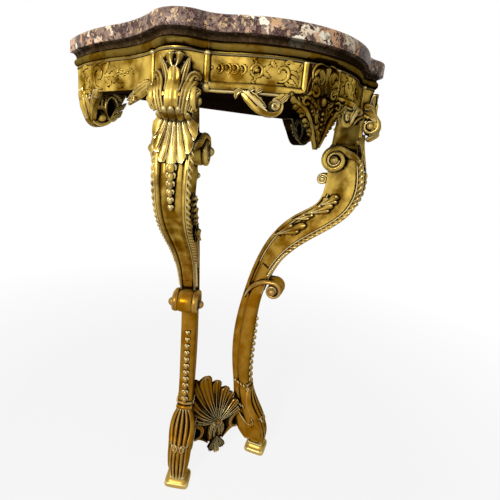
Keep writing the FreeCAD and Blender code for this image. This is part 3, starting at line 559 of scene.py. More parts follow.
# %% Roll a ribbon
def ribbon(carving, line, width, thick, taper, way, end, band, narrow):
    """Wide strip along a line of (set-back, height): rounded ends, two rims and a swelling between them."""
    aside = beside(line) * way
    share = np.linspace(0, 1, len(line))[:, None]
    half, rim, dome = width / 2, thick / 2, min(2.2, 0.25 * thick)
    groove = half - band
    right = np.array([(0.3 * half, rim + 1.2), (groove - 2.5, rim + 0.2), (groove, rim - 1.6),
                      (groove + 1.5, rim + 0.2), (groove + 4, rim + 0.9), (half, rim),
                      (half + 0.75 * dome, 0.55 * rim), (half + dome, 0), (half + 0.75 * dome, -0.55 * rim),
                      (half, -rim)])
    cut = np.concatenate([[(0, rim + 1.5)], right, [(0, -rim)], right[::-1] * (-1, 1)])
    grow = np.clip(share / taper, 0.02, 1) ** 0.5
    across = cut[:, 0] * (narrow + (1 - narrow) * np.clip(share / (1.6 * taper), 0, 1))
    deep = cut[:, 1] * grow * (1 + (end - 1) * share)
    carving.add(leg(across, line[:, 0, None] + aside[:, 0, None] * deep,
                    line[:, 1, None] + aside[:, 1, None] * deep))


def scroll_end(centre, half, side):
    """Flat end of a scroll as a host."""
    return lambda a, b, h: leg(side * (half + h), centre[0] + a, centre[1] + b)


def scroll_roll(carving, lead, centre, outer, width, turns, thick, button, end, band=6.5, narrow=0.8, count=14):
    """Ribbon that leads into a roll round a centre of (set-back, height); turns run from the front, upwards."""
    first, last = turns
    spiral = curl((0, 0), first, last, outer - thick / 2, 0.3 * outer, 76)
    spiral = spiral * (-1, 1) + centre
    line, way = np.concatenate([smooth(lead, count), spiral]), -1 if last < first else 1
    ribbon(carving, line, width, thick, 0.14, way, end, band, narrow)
    x = np.array([-1, -0.98, 0.98, 1]) * (width / 2 - 3.5)
    angle = np.arange(28) * 2 * np.pi / 28
    radius = np.array([0.6, 1, 1, 0.6]) * (outer - 1.2 * thick)
    carving.add(leg(x[:, None] * np.ones(28), centre[0] + radius[:, None] * np.cos(angle),
                    centre[1] + radius[:, None] * np.sin(angle)))
    for side in (-1, 1):
        carving.host = scroll_end(centre, width / 2, side)
        bead(carving, 0, 0, button, rise=0.4 * button, sides=16)


# %% [markdown]
# Each leg has a scroll under the leaf at its head, one on the back of the knee with a small curl
# below it, and one at mid height.

# %% Roll the scrolls
head, knee, mid = Carving(), Carving(), Carving()
scroll_roll(head, [(26, 772), (19, 783), (9, 789)], (-3, 771), outer=19, width=60, turns=(110, -400), thick=6.4,
            button=5.6, end=0.5)
scroll_roll(knee, [(3, 703), (11, 713), (23, 719.5)], (49, 708), outer=28, width=82, turns=(60, 720), thick=12.5,
            button=7.2, end=0.36, narrow=0.62)
scroll_roll(knee, [(69, 612), (62, 630), (57, 648), (56, 660)], (68, 671), outer=13.5, width=44, turns=(-30, 560),
            thick=6.0, button=4.6, end=0.6)
scroll_roll(mid, [(204, 398), (194, 418), (177, 433.5), (160, 441)], (142, 423), outer=23, width=46,
            turns=(90, -400), thick=9.0, button=8.5, end=0.5, band=9, count=24)
for name, carving in (("head_scroll", head), ("knee_scroll", knee), ("mid_scroll", mid)):
    both_sides(name + "_carved", carving, name)

# %% [markdown]
# ## Leaf, knot and shell on the leg's head
# An acanthus leaf climbs the corner block and curls its tips outward, with a small heart above it.
# Below it a knot of three lobes ties on the shell. Overlapping lobes, each with its own ridges, read
# better from all sides than one sheet with a bump pattern.

# %% Carve the leg's head
HEAD_FACE = np.array(((735, 5), (748, -2), (754, -9), (760, -13), (771, -15.5), (782, -13), (788, -8), (794, -3),
                      (805, -1), (850, 0)))


def head_face(x, z, h):
    """Front of the leg's head: bulges over the scroll, round as the corner block above it."""
    x, z, h = np.broadcast_arrays(x, z, h)
    bulge = np.interp(z, HEAD_FACE[:, 0], HEAD_FACE[:, 1])
    back = LOBE_RADIUS - np.sqrt(LOBE_RADIUS ** 2 - np.minimum(np.abs(x), 34) ** 2)
    return leg(x, bulge + back * np.interp(z, [780, 800], [0.4, 1.0]) - h, z)


acanthus, heart, knot = Carving(head_face), Carving(head_face), Carving(head_face)
petal(acanthus, [(0, 755), (0, 780), (0, 812)], 13.5, 8.5, 5.0, rise=2, lift=5, count=28)
for side in (-1, 1):
    leaf(acanthus, mirrored(side, (8, 768), (10.5, 790), (13, 806), (20, 825)), 7, 2, 4.0, rise=1, lift=8, notch=0.1)
    petal(acanthus, mirrored(side, (14, 754), (18, 775), (21, 792), (27, 802), (32, 798)), 6.5, 8.5, 6,
          rise=2, lift=5, count=34)
    petal(acanthus, mirrored(side, (23, 757), (27, 769), (30, 780), (35, 785)), 4, 5.5, 5, rise=1.5, lift=3)
    petal(heart, mirrored(side, (0, 808), (4.6, 816), (7.2, 829)), 1.8, 7.8, 4.8, rise=4, lift=1.5, veins=0)
petal(acanthus, [(0, 802), (0, 811), (0, 821)], 8, 13, 2.4, rise=2, veins=0, count=14)
both_sides("corner_acanthus_carved", acanthus, "corner_acanthus")
both_sides("leaf_heart", heart)

petal(knot, [(0, 749), (0, 757), (0, 768)], 18, 20, 2, rise=-2, sink=16, veins=0)
for x in (-10, 0, 10):
    bead(knot, x, 753.5, 5.7, rise=5 - abs(x) / 7, tall=1.45, sides=16)
for x in (-19.5, 19.5):
    bead(knot, x, 751.5, 4.4, rise=2)
both_sides("shell_knot_carved", knot, "shell_knot")

# %% [markdown]
# The shell on the knee is one fan of broad flutes. Every line of it runs from the knot to a chosen
# rim, and the flutes swell between them.

# %% Carve the shell
FLUTES, SHELL_TOP = 7, 757
SHELL_EDGE = np.array(((0, 0, 687), (0.286, 16, 690), (0.571, 27, 707), (0.857, 32, 729), (1, 32.5, 744)))
leg_face = leg_front(0.0)


def knee_host(x, z, h):
    """Front of the knee, bent back beyond its flat middle."""
    away = np.clip(np.abs(x) - 17, 0, None) ** 2 / 42
    return leg_face(x, z, h) + away[..., None] * (-math.sin(LEG_TURN), math.cos(LEG_TURN), 0)


def shell_rings():
    spread = np.linspace(-1, 1, 12 * FLUTES + 1)
    share = np.concatenate([spread, [1.0, 0.5, 0.0, -0.5, -1.0]])
    swell = np.abs(np.cos(0.5 * np.pi * FLUTES * share))
    edge_x = np.sign(share) * np.interp(np.abs(share), SHELL_EDGE[:, 0], SHELL_EDGE[:, 1])
    edge_z = np.interp(np.abs(share), SHELL_EDGE[:, 0], SHELL_EDGE[:, 2])
    for t in np.linspace(0, 1, 34):
        reach = t * (1 - 0.04 * (1 - np.sqrt(swell)))
        between = 2 * reach * (1 - reach)
        x = (1 - reach) ** 2 * 17 * share + between * 24 * share + reach ** 2 * edge_x
        z = (1 - reach ** 2) * SHELL_TOP - between * 0.52 * (SHELL_TOP - edge_z) + reach ** 2 * edge_z
        level = 2.4 - 1.2 * t + 3.4 * swell ** 0.4 + 0.2 * np.cos(5 * np.pi * FLUTES * share)
        level[len(spread):] = (-3, -8, -8, -8, -3)
        yield knee_host(x, z, level)


shell = Carving()
shell.add(list(shell_rings()))
both_sides("knee_shell_carved", shell, "knee_shell")

# %% [markdown]
# ## Ankle and foot
# The shaft ends in a ring. Long flutes wrap the swelling of the ankle in two tiers, with a pair of
# small curls between them, and a moulded block carries it.

# %% Carve the ankle
UPPER_TIER = dict(lift=2, veins=0, sink=5, count=24)
LOWER_TIER = dict(veins=0, sink=5, count=20)
ankle = Carving(leg_front(1 / 80))
petal(ankle, [(0, 162), (0, 130), (0, 88)], 3.4, 5.6, 4.6, rise=2.6, **UPPER_TIER)
petal(ankle, [(0, 20), (0, 60), (0, 94)], 3.4, 5.4, 3.8, rise=1.8, **LOWER_TIER)
for side in (-1, 1):
    petal(ankle, mirrored(side, (5.5, 162), (10.5, 132), (10, 90)), 3.2, 5.4, 4.6, rise=2, **UPPER_TIER)
    petal(ankle, mirrored(side, (11, 161), (19, 140), (22, 116), (18, 90)), 4, 6.5, 4.4, rise=1, **UPPER_TIER)
    petal(ankle, mirrored(side, (6.5, 20), (8.5, 56), (8.5, 90)), 3.0, 4.8, 3.8, rise=2.0, **LOWER_TIER)
    petal(ankle, mirrored(side, (12.5, 23), (16.5, 60), (16.5, 94)), 3.0, 4.6, 3.6, rise=1.0, **LOWER_TIER)
    stem(ankle, curl((side * 8.5, 86), 90 - side * 60, 90 + side * 330, 6.8, 2.4), [1.6, 2.8, 2.6, 2.0], rise=6)
stem(ankle, [(-17, 165), (0, 164), (17, 165)], [4.4, 5.6, 4.4], rise=1.8)
stem(ankle, [(-16, 174), (0, 173.5), (16, 174)], [2.6, 3.4, 2.6], rise=1.6)
both_sides("ankle_leaf_carved", ankle, "ankle_leaf")


# %% [markdown]
# The foot block is a stack of rounded squares, given as height, half width and half depth.

# %% Mould the foot block
def rounded_square(sides, power):
    """Angles round a square with soft corners, and how far out its edge lies at each."""
    angle = np.arange(sides) * 2 * np.pi / sides
    return angle, 1 / (np.abs(np.cos(angle)) ** power + np.abs(np.sin(angle)) ** power) ** (1 / power)


FOOT_MIDDLE = 146.05
FOOT_PROFILE = ((31, 11, 13), (30, 12.5, 14.5), (23.5, 13.2, 15.2), (23, 16.0, 17.6), (20.4, 16.6, 18.0),
                (19.8, 15.4, 17.0), (17.5, 16.2, 17.6), (13.5, 19.4, 20.0), (11.6, 22.6, 22.2), (10.8, 24.6, 23.4),
                (8, 25.8, 24.2), (4, 26.2, 24.4), (1.2, 25.2, 23.6), (0, 23.4, 21.8))
foot = Carving()
angle, square = rounded_square(48, 7)
foot.add([leg(across * square * np.cos(angle), FOOT_MIDDLE + deep * square * np.sin(angle), z)
          for z, across, deep in FOOT_PROFILE])
both_sides("foot_block_moulded", foot, "foot_block")

# %% [markdown]
# ## Stretcher
# Two hollow-sided arms meet at a hub. A palmette of round plumes leans back from it, longer on its
# left, and a leaf hangs below.

# %% Carve the palmette
STRETCHER_Y, LEAN, LEAN_FROM, HUB_BACK = -114.0, math.tan(math.radians(12)), 84, 26
PLUMES = (80, 110, 132, 124, 102, 88, 78, 70, 62)
HUB_PROFILE = ((40, 15, -4), (45, 20, 0), (58, 22, 2), (79, 21, 3), (96, 20, 2), (104, 15, -1), (108, 8, -6))


def stretcher_face(x, z, h):
    """Front of the hub and of the palmette, which leans back above it."""
    x, z, h = np.broadcast_arrays(x, z, h)
    return np.stack([x, STRETCHER_Y + np.clip(z - LEAN_FROM, 0, None) * LEAN - h, z], -1)


palmette = Carving(stretcher_face)
for index, length in enumerate(PLUMES):
    angle = 15.5 * index - 62
    ray = ray_at(angle)
    sway = np.array([ray[1], -ray[0]]) * (0.12 * angle - 1.5) / 10
    spine = [ray * 6 + (0, 96), ray * 0.5 * length + sway * 9 + (0, 96), ray * length + (0, 94)]
    petal(palmette, spine, 3.0, 0.175 * length, 7.0, rise=1.5 + 3.5 * (index % 2), lift=9, sink=9, count=30)
angle, square = rounded_square(36, 5)
palmette.add([stretcher_face(half * square * np.cos(angle), z + 0 * angle,
                             (front - HUB_BACK) / 2 + (front + HUB_BACK) / 2 * square * np.sin(angle))
              for z, half, front in smooth(HUB_PROFILE, 26)])
for side in (-1, 1):
    leaf(palmette, mirrored(side, (2, 97), (10, 90), (16, 76), (15, 56)), 6.0, 2, 3.4, rise=1.5)
    leaf(palmette, mirrored(side, (1, 92), (5, 80), (7, 66), (4, 52)), 4.5, 3, 3.2, rise=2.5)
bead(palmette, 0, 100, 7.0, rise=7)
for side in (-1, 1):
    bead(palmette, side * 9, 94, 4.5, rise=6)
to_piece("palmette_carved", palmette, "stretcher_palmette")


# %% [markdown]
# Each arm is sunk between two raised edges and carries a curled stem and a leaf.

# %% Carve the arms and the hanging leaf
ARM_START, ARM_END = 20, 94


def arm_face(x, z, h):
    x, z, h = np.broadcast_arrays(x, z, h)
    return np.stack([x, STRETCHER_Y - h, z], -1)


arm, drop = Carving(arm_face), Carving(arm_face)
rings = []
for x in np.linspace(ARM_START, ARM_END, 24):
    hollow = math.sin(math.pi * ((x - ARM_START) / (ARM_END - ARM_START)))
    low, high = 40 + 22 * hollow, 98 + 11 * hollow
    z = np.array([low, low + 3, low + 6, high - 6, high - 3, high, high, low])
    rings.append(arm_face(x, z, np.array([-1.5, 0, -7, -7, 0, -1.5, -25, -25])))
arm.add(rings)
stem(arm, [(93, 98), (74, 106), (52, 101), (39, 86), (43, 70), (58, 64)], [2.4, 4.2, 4.8, 4.8, 4.2, 2.4], rise=0.5,
     ridge=0.18, count=50)
leaf(arm, [(23, 97), (42, 108), (62, 109), (84, 101)], 5, 3, 3, rise=0.5)
both_sides("stretcher_arm_carved", arm, "stretcher_arm")

for angle, length in ((-26, 42), (0, 47), (26, 42)):
    ray_petal(drop, ray_at(angle) * (1, -1), (0, 61), 2, length, 3, 10, 5, rise=2 + (angle == 0), lift=3, veins=2,
              sink=14, scallop=4)
to_piece("hanging_leaf_carved", drop, "stretcher_drop")
print("stretcher carved")

# %% [markdown]
# ## Mouldings of the apron
# A fat half-round runs under the marble, with a thin fillet below it. Beads cover the joints of the
# corner block and a second half-round ends each front panel. They follow the plan, so they are
# swept along it by distance.

# %% Sweep the mouldings
SWEEP_STEP = 2.5


def moulding(carving, first, last, profile):
    runs = np.linspace(first, last, max(6, int(abs(last - first) / SWEEP_STEP)))
    table = np.array(profile)
    carving.add([apron(np.full(len(table), s), table[:, 1], table[:, 0]) for s in runs])


def half_round(z, radius, back=-2.0, count=9):
    angle = np.linspace(-90, 90, count) * np.pi / 180
    swell = [(radius * math.cos(a), z + radius * math.sin(a)) for a in angle]
    return [(back, z - radius)] + swell + [(back, z + radius)]


def top_run(first, last):
    carving = Carving()
    for profile in (half_round(843.5, 6.0), half_round(834.6, 1.7, count=5)):
        moulding(carving, first, last, profile)
    return carving


to_piece("top_bead_front", top_run(-BLOCK_IN, BLOCK_IN), "top_moulding_front")
both_sides("top_bead", top_run(BLOCK_IN, SIDE_RUN), "top_moulding")

upright, panel_frame = Carving(apron), Carving(apron)
for s in (BLOCK_IN, BLOCK_OUT):
    stem(upright, [(s, 791), (s, 833)], [4.2, 4.6, 4.6, 4.2], count=20, sides=12)
    bead(upright, s, 792, 5.6, rise=0.5)
    bead(upright, s, 834, 5.0, rise=0.5, tall=0.7)
both_sides("corner_beads_turned", upright, "corner_beads")

PANEL_END = bow_s(31)
moulding(panel_frame, PANEL_END, BLOCK_IN - 3, half_round(795, 4.8))
moulding(panel_frame, bow_s(52), BLOCK_IN - 3, half_round(788.6, 1.8, count=5))
stem(panel_frame, [(PANEL_END, 794), (PANEL_END, 834)], [4.8, 4.8, 4.8], flat=1.0, count=16, sides=16)
bead(panel_frame, PANEL_END, 795, 4.8)
moulding(panel_frame, BLOCK_OUT + 3, BLOCK_OUT + 34, half_round(795, 4.2))
bead(panel_frame, BLOCK_OUT + 35, 794, 4.6, rise=0.5)
both_sides("panel_frame_carved", panel_frame, "panel_moulding")

# %% [markdown]
# ## Gesso coat
# Under the gold lies a coat of gesso about a millimetre thick. It is laid on the faces of the rails and
# blocks as a skin with a fine grid, so that it can carry its own wear, dirt and painted shade from point to point.

# %% Lay the coat
COAT_LOW, COAT_HIGH, COAT_OUT, COAT_IN = 790.4, 849, 0.3, -1.2


def coat(first, last):
    carving = Carving()
    face = [(COAT_OUT, z) for z in np.linspace(COAT_LOW, COAT_HIGH, 25)]
    moulding(carving, first, last, face + [(COAT_IN, COAT_HIGH), (COAT_IN, COAT_LOW)])
    return carving


to_piece("front_coat", coat(-BLOCK_IN, BLOCK_IN))
both_sides("side_coat", coat(BLOCK_IN, SIDE_RUN - 1))

# %% [markdown]
# ## Relief on the panels
# Each front panel has a ball, a row of husks, a rosette with curled tendrils and a scroll among leaves.
# The relief is only a few millimetres high.

# %% Carve the front panels
LEVEL = 817


def around(s, *steps):
    """Points given by their steps along and up from a place on the panel's middle line."""
    return [(s + along, LEVEL + up) for along, up in steps]


relief = Carving(apron)
bead(relief, bow_s(146), LEVEL, 2.4)
for index in range(4):
    s = bow_s(137 - 8.2 * index)
    stem(relief, curl((s + 3.0, LEVEL), 75, 285, 6.2, 5.8, 14), [0.9, 2.4, 0.9], count=14, sides=8)
    bead(relief, s + 2.4, LEVEL, 2.0, rise=0.6)
s = bow_s(97)
stem(relief, curl((s, LEVEL), 0, 352, 7.6, 7.6, 30), [2.0, 2.2, 2.0], count=40, sides=8)
bead(relief, s, LEVEL, 3.6, rise=0.6, tall=0.75)
for way in (-1, 1):
    stem(relief, around(s, (4, way * 7), (1, way * 11), (5, way * 14), (2, way * 16)), [1.2, 1.9, 1.6, 1.9],
         count=22, sides=8)
    leaf(relief, around(s, (-8, 0), (-13, way * 4), (-20, way * 8)), 3.4, 3, 2, sink=2, count=14)
s = bow_s(64)
stem(relief, curl((s, LEVEL), 300, -10, 12, 5, 34), [1.4, 2.6, 2.6, 1.8], count=40, sides=8)
leaves(relief, (around(s, (-2, 11), (-8, 15), (-16, 13)), around(s, (-4, -11), (-10, -15), (-18, -14)),
                around(s, (10, 6), (16, 12), (12, 17)), around(s, (-10, 3), (-18, 1), (-25, -6)),
                around(s, (-11, -3), (-19, -6), (-24, -15)), around(s, (-20, 4), (-26, 9), (-28, 16))),
       3.4, 3, 2.2, sink=2, count=14)
both_sides("panel_relief_carved", relief, "panel_ornament")


# %% [markdown]
# The side panels repeat the scroll with a spray of buds. They are measured from the wall.

# %% Carve the side panels
def side_face(a, z, h):
    return apron(SIDE_RUN - a, z, h)


side_relief = Carving(side_face)
stem(side_relief, curl((86, 816), 235, -150, 18, 4, 44), [1.8, 3.6, 3.4, 2.2], count=52)
stem(side_relief, [(58, 835), (66, 824), (70, 808), (80, 797), (96, 796)], [1.4, 2.8, 3.0, 2.6, 1.2])
stem(side_relief, curl((112, 806), 200, 480, 8, 2.6, 30), [1.4, 2.6, 2.4, 1.8])
stem(side_relief, curl((46, 812), 20, -290, 9, 2.8, 30), [1.4, 2.6, 2.4, 1.8])
leaves(side_relief, ([(100, 818), (108, 825), (112, 834)], [(102, 810), (112, 804), (120, 798)],
                     [(92, 830), (98, 834), (107, 832)], [(110, 817), (120, 823), (131, 821)],
                     [(116, 811), (124, 806), (134, 808)], [(72, 801), (62, 796), (50, 798)],
                     [(66, 826), (74, 832), (84, 834)], [(56, 806), (48, 800), (38, 798)],
                     [(36, 816), (28, 822), (20, 820)], [(34, 806), (26, 802), (16, 804)],
                     [(128, 800), (138, 797), (148, 800)], [(30, 828), (40, 832), (52, 830)]),
       4.6, 3, 2.8, sink=2, count=16)
for index in range(6):
    husk(side_relief, 130 + 7.5 * index, 816 + 2 * math.sin(2.1 * index), 4.2 - 0.35 * index, 25 * (-1) ** index)
both_sides("side_relief_carved", side_relief, "side_ornament")

# %% [markdown]
# ## Cartouche and hanging scrolls
# The middle of the bow carries a shield of shells, leaves and C-scrolls that tapers to a hanging point.
# Its field is a rippled loft, and a fan of seven plumes stands at its top.

# %% Carve the cartouche
SHIELD_TOP, SHIELD_POINT = 833, 721
SHIELD = np.array(((SHIELD_TOP, 27), (812, 29), (796, 33), (788, 48), (776, 36), (762, 21), (745, 13), (732, 8),
                   (SHIELD_POINT, 2.5)))
field, border = Carving(apron), Carving(apron)
rings = []
v = np.linspace(-1, 1, 15)
for z in np.linspace(SHIELD_TOP, SHIELD_POINT, 46):
    half = np.interp(z, SHIELD[::-1, 0], SHIELD[::-1, 1])
    top = 4.5 + 3 * np.sqrt(1 - v ** 2) - 2.2 * np.abs(np.sin(0.16 * (SHIELD_TOP - z) + 4 * np.abs(v)))
    back = np.full(3, np.interp(z, [SHIELD_POINT, 786], [-1.5, -11.5]))
    s = np.concatenate([v, 0.5 * v[::-7]]) * half
    rings.append(apron(s, np.full(len(s), z), np.concatenate([top, back])))
field.add(rings)
for angle, length in zip(np.linspace(-64, 64, 7), (24, 31, 36, 38, 36, 31, 24)):
    ray_petal(field, ray_at(angle), (0, 793), 4, length, 1.8, 6.0, 4, rise=6, lift=3, sink=0)
bead(field, 0, 786, 6.0, rise=5.5, tall=1.25)
for side in (-1, 1):
    sprig(field, (side * 3, 776), (side * 0.9, 0.5), 17, rise=5)
    sprig(field, (side * 2, 764), (side * 0.8, 0.9), 13, rise=5)
for index in range(4):
    bead(field, 0, 770 - 7 * index, 3.2 - 0.4 * index, rise=8)
leaf(field, [(0, 752), (0, 738), (0, 722)], 8, 3, 5, rise=3, count=18)
to_piece("cartouche_carved", field, "centre_cartouche", "cartouche_shell")

stem(border, [(53, 793), (45, 783), (33, 776), (23, 766), (15, 752), (9, 737), (3, 724)],
     [2.2, 3.6, 4.2, 4.0, 3.6, 3.0, 2.0], rise=6, ridge=0.16, count=60, sides=14)
stem(border, curl((14, 818), 250, -200, 11, 3.0, 40), [2.4, 3.2, 3.0, 2.0], rise=8)
stem(border, curl((17, 797), 60, 430, 8.5, 2.6, 34), [2.0, 3.0, 2.8, 2.0], rise=8)
stem(border, curl((30, 783), 150, -190, 7, 2.4, 30), [2.0, 2.8, 2.4, 1.8], rise=8)
stem(border, [(3, 832), (9, 834), (18, 831), (22, 822), (20, 807), (22, 797), (30, 790), (42, 788)],
     [1.6, 2.6, 3.0, 3.0, 2.8, 2.8, 2.6, 1.6], rise=6)
for root, towards, size in (((30, 772), (24, 17), 27), ((20, 764), (20, 10), 22), ((13, 750), (17, 12), 20),
                            ((8, 738), (12, 12), 16)):
    sprig(border, root, towards, size, rise=4, sink=4)
leaves(border, ([(10, 776), (18, 786), (28, 792)], [(8, 766), (15, 772), (22, 782)], [(6, 756), (9, 766), (8, 778)]),
       4.6, 3, 3.4, rise=5, lift=2, sink=4, count=18)
for a, z in ((36, 787), (26, 781), (19, 772)):
    bead(border, a, z, 2.2, rise=8)
both_sides("cartouche_border_carved", border, "cartouche_scroll")

# %% [markdown]
# On each side of the cartouche a fluted scroll hangs below the rail and curls round a ball.

# %% Carve the hanging scrolls
EYE = bow_s(71), 774.5
hanging = Carving(apron)
stem(hanging, on_bow((113, 791), (104, 782), (93, 771), (80, 763.5), (68, 764.5), (61.5, 773), (65, 782), (72, 783)),
     [4.0, 7.4, 7.6, 6.0, 4.6, 4.2, 3.8, 2.4], rise=-2, flat=1.1, ridge=0.2, count=60, sides=14)
stem(hanging, on_bow((70, 781), (62, 788), (53, 791), (44, 789), (38, 783)), [4.2, 5.4, 5.0, 4.2, 2.2], rise=-1,
     ridge=0.15, count=40, sides=12)
for shift in (-3.2, 0, 3.2):
    line = np.array(on_bow((109, 790), (97, 779), (84, 770))) + [(shift, 0), (shift, shift), (shift, shift)]
    stem(hanging, line, [1.0, 2.2, 1.6, 0.8], rise=5, count=24, sides=8)
bead(hanging, *EYE, 7.6, rise=-4)
stem(hanging, curl(EYE, 60, 560, 7.2, 1.6, 44), [1.8, 2.4, 2.2, 1.8], rise=3, count=60)
leaf(hanging, on_bow((108, 790), (98, 783), (88, 776), (82, 771)), 7.5, 4, 4, rise=1, lift=2, sink=9)
leaf(hanging, on_bow((66, 778), (58, 785), (50, 794)), 4.5, 3, 3.6, rise=1, sink=7, count=18)
leaves(hanging, (on_bow((112, 792), (118, 788), (119, 780)), on_bow((104, 790), (101, 794), (96, 796)),
                 on_bow((96, 789), (92, 793), (86, 795))), 4.6, 3, 4, rise=2, sink=8, count=16)
both_sides("hanging_scroll_carved", hanging, "apron_scroll")

# %% [markdown]
# ## Rear brackets and side leaves
# At the wall a hollow bracket with a ball hangs below each side. Its body is one loft that goes round
# the outside, over the front and into the hollow.

# %% Carve the rear brackets
BRACKET = smooth([(196, 797), (204, 783), (214, 767), (224, 750), (236, 740), (251, 740), (262, 751), (268, 772),
                  (271, 798), (232, 799), (196, 797)], 65)[:-1]
HOLLOW, HOLLOW_HALF = np.array([222.0, 771.0]), np.array([11.0, 20.0])
BRACKET_FRONT = -36.0
ray = BRACKET - HOLLOW
ray /= np.linalg.norm(ray, axis=1)[:, None]
mouth = HOLLOW + ray * HOLLOW_HALF


def bracket_face(x, z, h):
    return np.stack([*np.broadcast_arrays(x, BRACKET_FRONT - np.asarray(h), z)], -1)


def bracket_side(a, z, h):
    a, z, h = np.broadcast_arrays(a, z, h)
    side = np.interp(z, [740, 751, 772, 798], [251, 262, 268, 271])
    return np.stack([side + h, -a, z], -1)


bracket = Carving(bracket_face)
rings = []
for share, wide, y in ((0, 1, -0.6), (0, 1, -24), (0, 1, -31), (0.1, 1, -35), (0.3, 1, -36.4),
                       (0.55, 1, -35.6), (0.8, 1, -36.2), (0.95, 1, -37.5), (1, 1, -36.5), (1, 0.9, -32),
                       (1, 0.88, -20), (1, 0.8, -10)):
    ring = BRACKET + (HOLLOW + (mouth - HOLLOW) * wide - BRACKET) * share
    rings.append(np.stack([ring[:, 0], np.full(len(ring), y), ring[:, 1]], 1))
bracket.add(rings)
bead(bracket, 241, 756, 9, rise=1)
stem(bracket, [(198, 796), (206, 783), (216, 766), (226, 750), (238, 743), (250, 745), (256, 756), (258, 772)],
     [2.4, 3.4, 3.8, 3.8, 3.6, 3.4, 3.0, 2.0], rise=-1, ridge=0.15, count=60)
stem(bracket, np.concatenate([mouth, mouth[:1]]), [2.2, 2.4, 2.2], count=60, sides=8)
for x in (240, 248, 256, 264):
    stem(bracket, [(x, 797), (x - 1, 782), (0.6 * x + 97, 768)], [2.2, 3.4, 3.0, 1.4], rise=-1.5, count=24)
leaves(bracket, ([(206, 786), (212, 792), (222, 796)], [(214, 770), (206, 774), (196, 784)],
                 [(220, 757), (212, 760), (203, 770)]), 4.6, 3, 3, rise=1, sink=4, count=16)
bracket.host = bracket_side
for a in (5, 13, 21, 29):
    stem(bracket, [(a, 800), (a + 0.5, 780), (a + 0.2, 752)], [2.6, 4.2, 4.0, 1.8], rise=-0.5, count=24)
both_sides("rear_bracket_carved", bracket, "rear_pendant")


# %% [markdown]
# A leaf grows back from each leg under the side rail. A thinner scroll with a leaf of its own links
# the bracket to the rail and leans inward as it goes down.

# %% Carve the side leaves
def link_face(a, z, h):
    return side_face(a, z, h - np.interp(a, [20, 62], [19, 5]))


BLOCK_EDGE = SIDE_RUN - BLOCK_OUT
side_spray = Carving(side_face)
leaf(side_spray, [(BLOCK_EDGE - 10, 797), (BLOCK_EDGE - 34, 789), (BLOCK_EDGE - 64, 775)], 9, 3, 5, rise=1, lift=2,
     sink=9, count=30)
stem(side_spray, [(BLOCK_EDGE - 8, 794), (BLOCK_EDGE - 34, 785), (BLOCK_EDGE - 66, 771)], [3, 4.6, 4.4, 2.4],
     rise=-3, flat=1.3)
sprig(side_spray, (BLOCK_EDGE - 44, 789), (-0.5, -1), 20, rise=2)
side_spray.host = link_face
stem(side_spray, [(20, 745), (38, 752), (56, 766), (72, 784), (88, 799)], [3.4, 5.6, 6.2, 5.6, 3.2], flat=1.2,
     ridge=0.2)
leaf(side_spray, [(30, 752), (50, 765), (66, 784), (70, 799)], 8, 4, 4, rise=3, lift=2, sink=8, count=30)
sprig(side_spray, (86, 797), (-0.9, -0.6), 24, rise=3, sink=8)
sprig(side_spray, (46, 799), (0.4, -1), 20, rise=5, sink=8)
both_sides("side_spray_carved", side_spray, "side_leaf")


# %% [markdown]
# ## Rows of pearls and buds
# Pearls line the lower part of the rope edge, and buds hang down the front of the legs. They repeat
# along a path, so a Geometry Nodes tree places them: it divides a curve, puts one form on each
# point, turns it along the curve and scales it from the first to the last.

# %% Add nodes
def set_inputs(tree, node, inputs):
    """Each input is a value, or a wire from another node."""
    for name, value in inputs.items():
        if isinstance(value, bpy.types.NodeSocket):
            tree.links.new(value, node.inputs[name])
        else:
            node.inputs[name].default_value = value


def add_node(tree, kind, inputs=None, **settings):
    node = tree.nodes.new(kind)
    for key, value in settings.items():
        setattr(node, key, value)
    set_inputs(tree, node, inputs or {})
    return node


# %% [markdown]
# The form, the number, the sizes and the side that the forms face are inputs, so one tree serves all
# rows.

# %% Build the tree that strings a row
def string_tree():
    tree = bpy.data.node_groups.new("string_along_path", "GeometryNodeTree")
    sockets = {}
    for name, kind in (("Path", "Geometry"), ("Form", "Object"), ("Count", "Int"), ("First Size", "Float"),
                       ("Last Size", "Float"), ("Facing", "Vector"), ("Finish", "Material")):
        socket = tree.interface.new_socket(name=name, in_out="INPUT", socket_type="NodeSocket" + kind)
        sockets[name] = socket.identifier
    tree.interface.new_socket(name="Row", in_out="OUTPUT", socket_type="NodeSocketGeometry")
    given = add_node(tree, "NodeGroupInput").outputs
    points = add_node(tree, "GeometryNodeResampleCurve", {"Curve": given["Path"], "Count": given["Count"]})
    form = add_node(tree, "GeometryNodeObjectInfo", {"Object": given["Form"]})
    along = add_node(tree, "GeometryNodeInputTangent").outputs["Tangent"]
    turn = add_node(tree, "FunctionNodeAlignRotationToVector", {"Vector": along}, axis="Z")
    face = add_node(tree, "FunctionNodeAlignRotationToVector",
                    {"Rotation": turn.outputs["Rotation"], "Vector": given["Facing"]}, axis="Y", pivot_axis="Z")
    share = add_node(tree, "GeometryNodeSplineParameter").outputs["Factor"]
    size = add_node(tree, "ShaderNodeMapRange",
                    {"Value": share, "To Min": given["First Size"], "To Max": given["Last Size"]})
    placed = add_node(tree, "GeometryNodeInstanceOnPoints",
                      {"Points": points.outputs["Curve"], "Instance": form.outputs["Geometry"],
                       "Rotation": face.outputs["Rotation"], "Scale": size.outputs["Result"]})
    real = add_node(tree, "GeometryNodeRealizeInstances", {"Geometry": placed.outputs["Instances"]})
    finished = add_node(tree, "GeometryNodeSetMaterial",
                        {"Geometry": real.outputs["Geometry"], "Material": given["Finish"]})
    add_node(tree, "NodeGroupOutput", {"Row": finished.outputs["Geometry"]})
    return tree, sockets


ROW_TREE, ROW_INPUT = string_tree()
gold = bpy.data.materials.new("gold_leaf")


# %% [markdown]
# A row is made as a mesh from the tree's result, so the piece that is kept has no modifier.

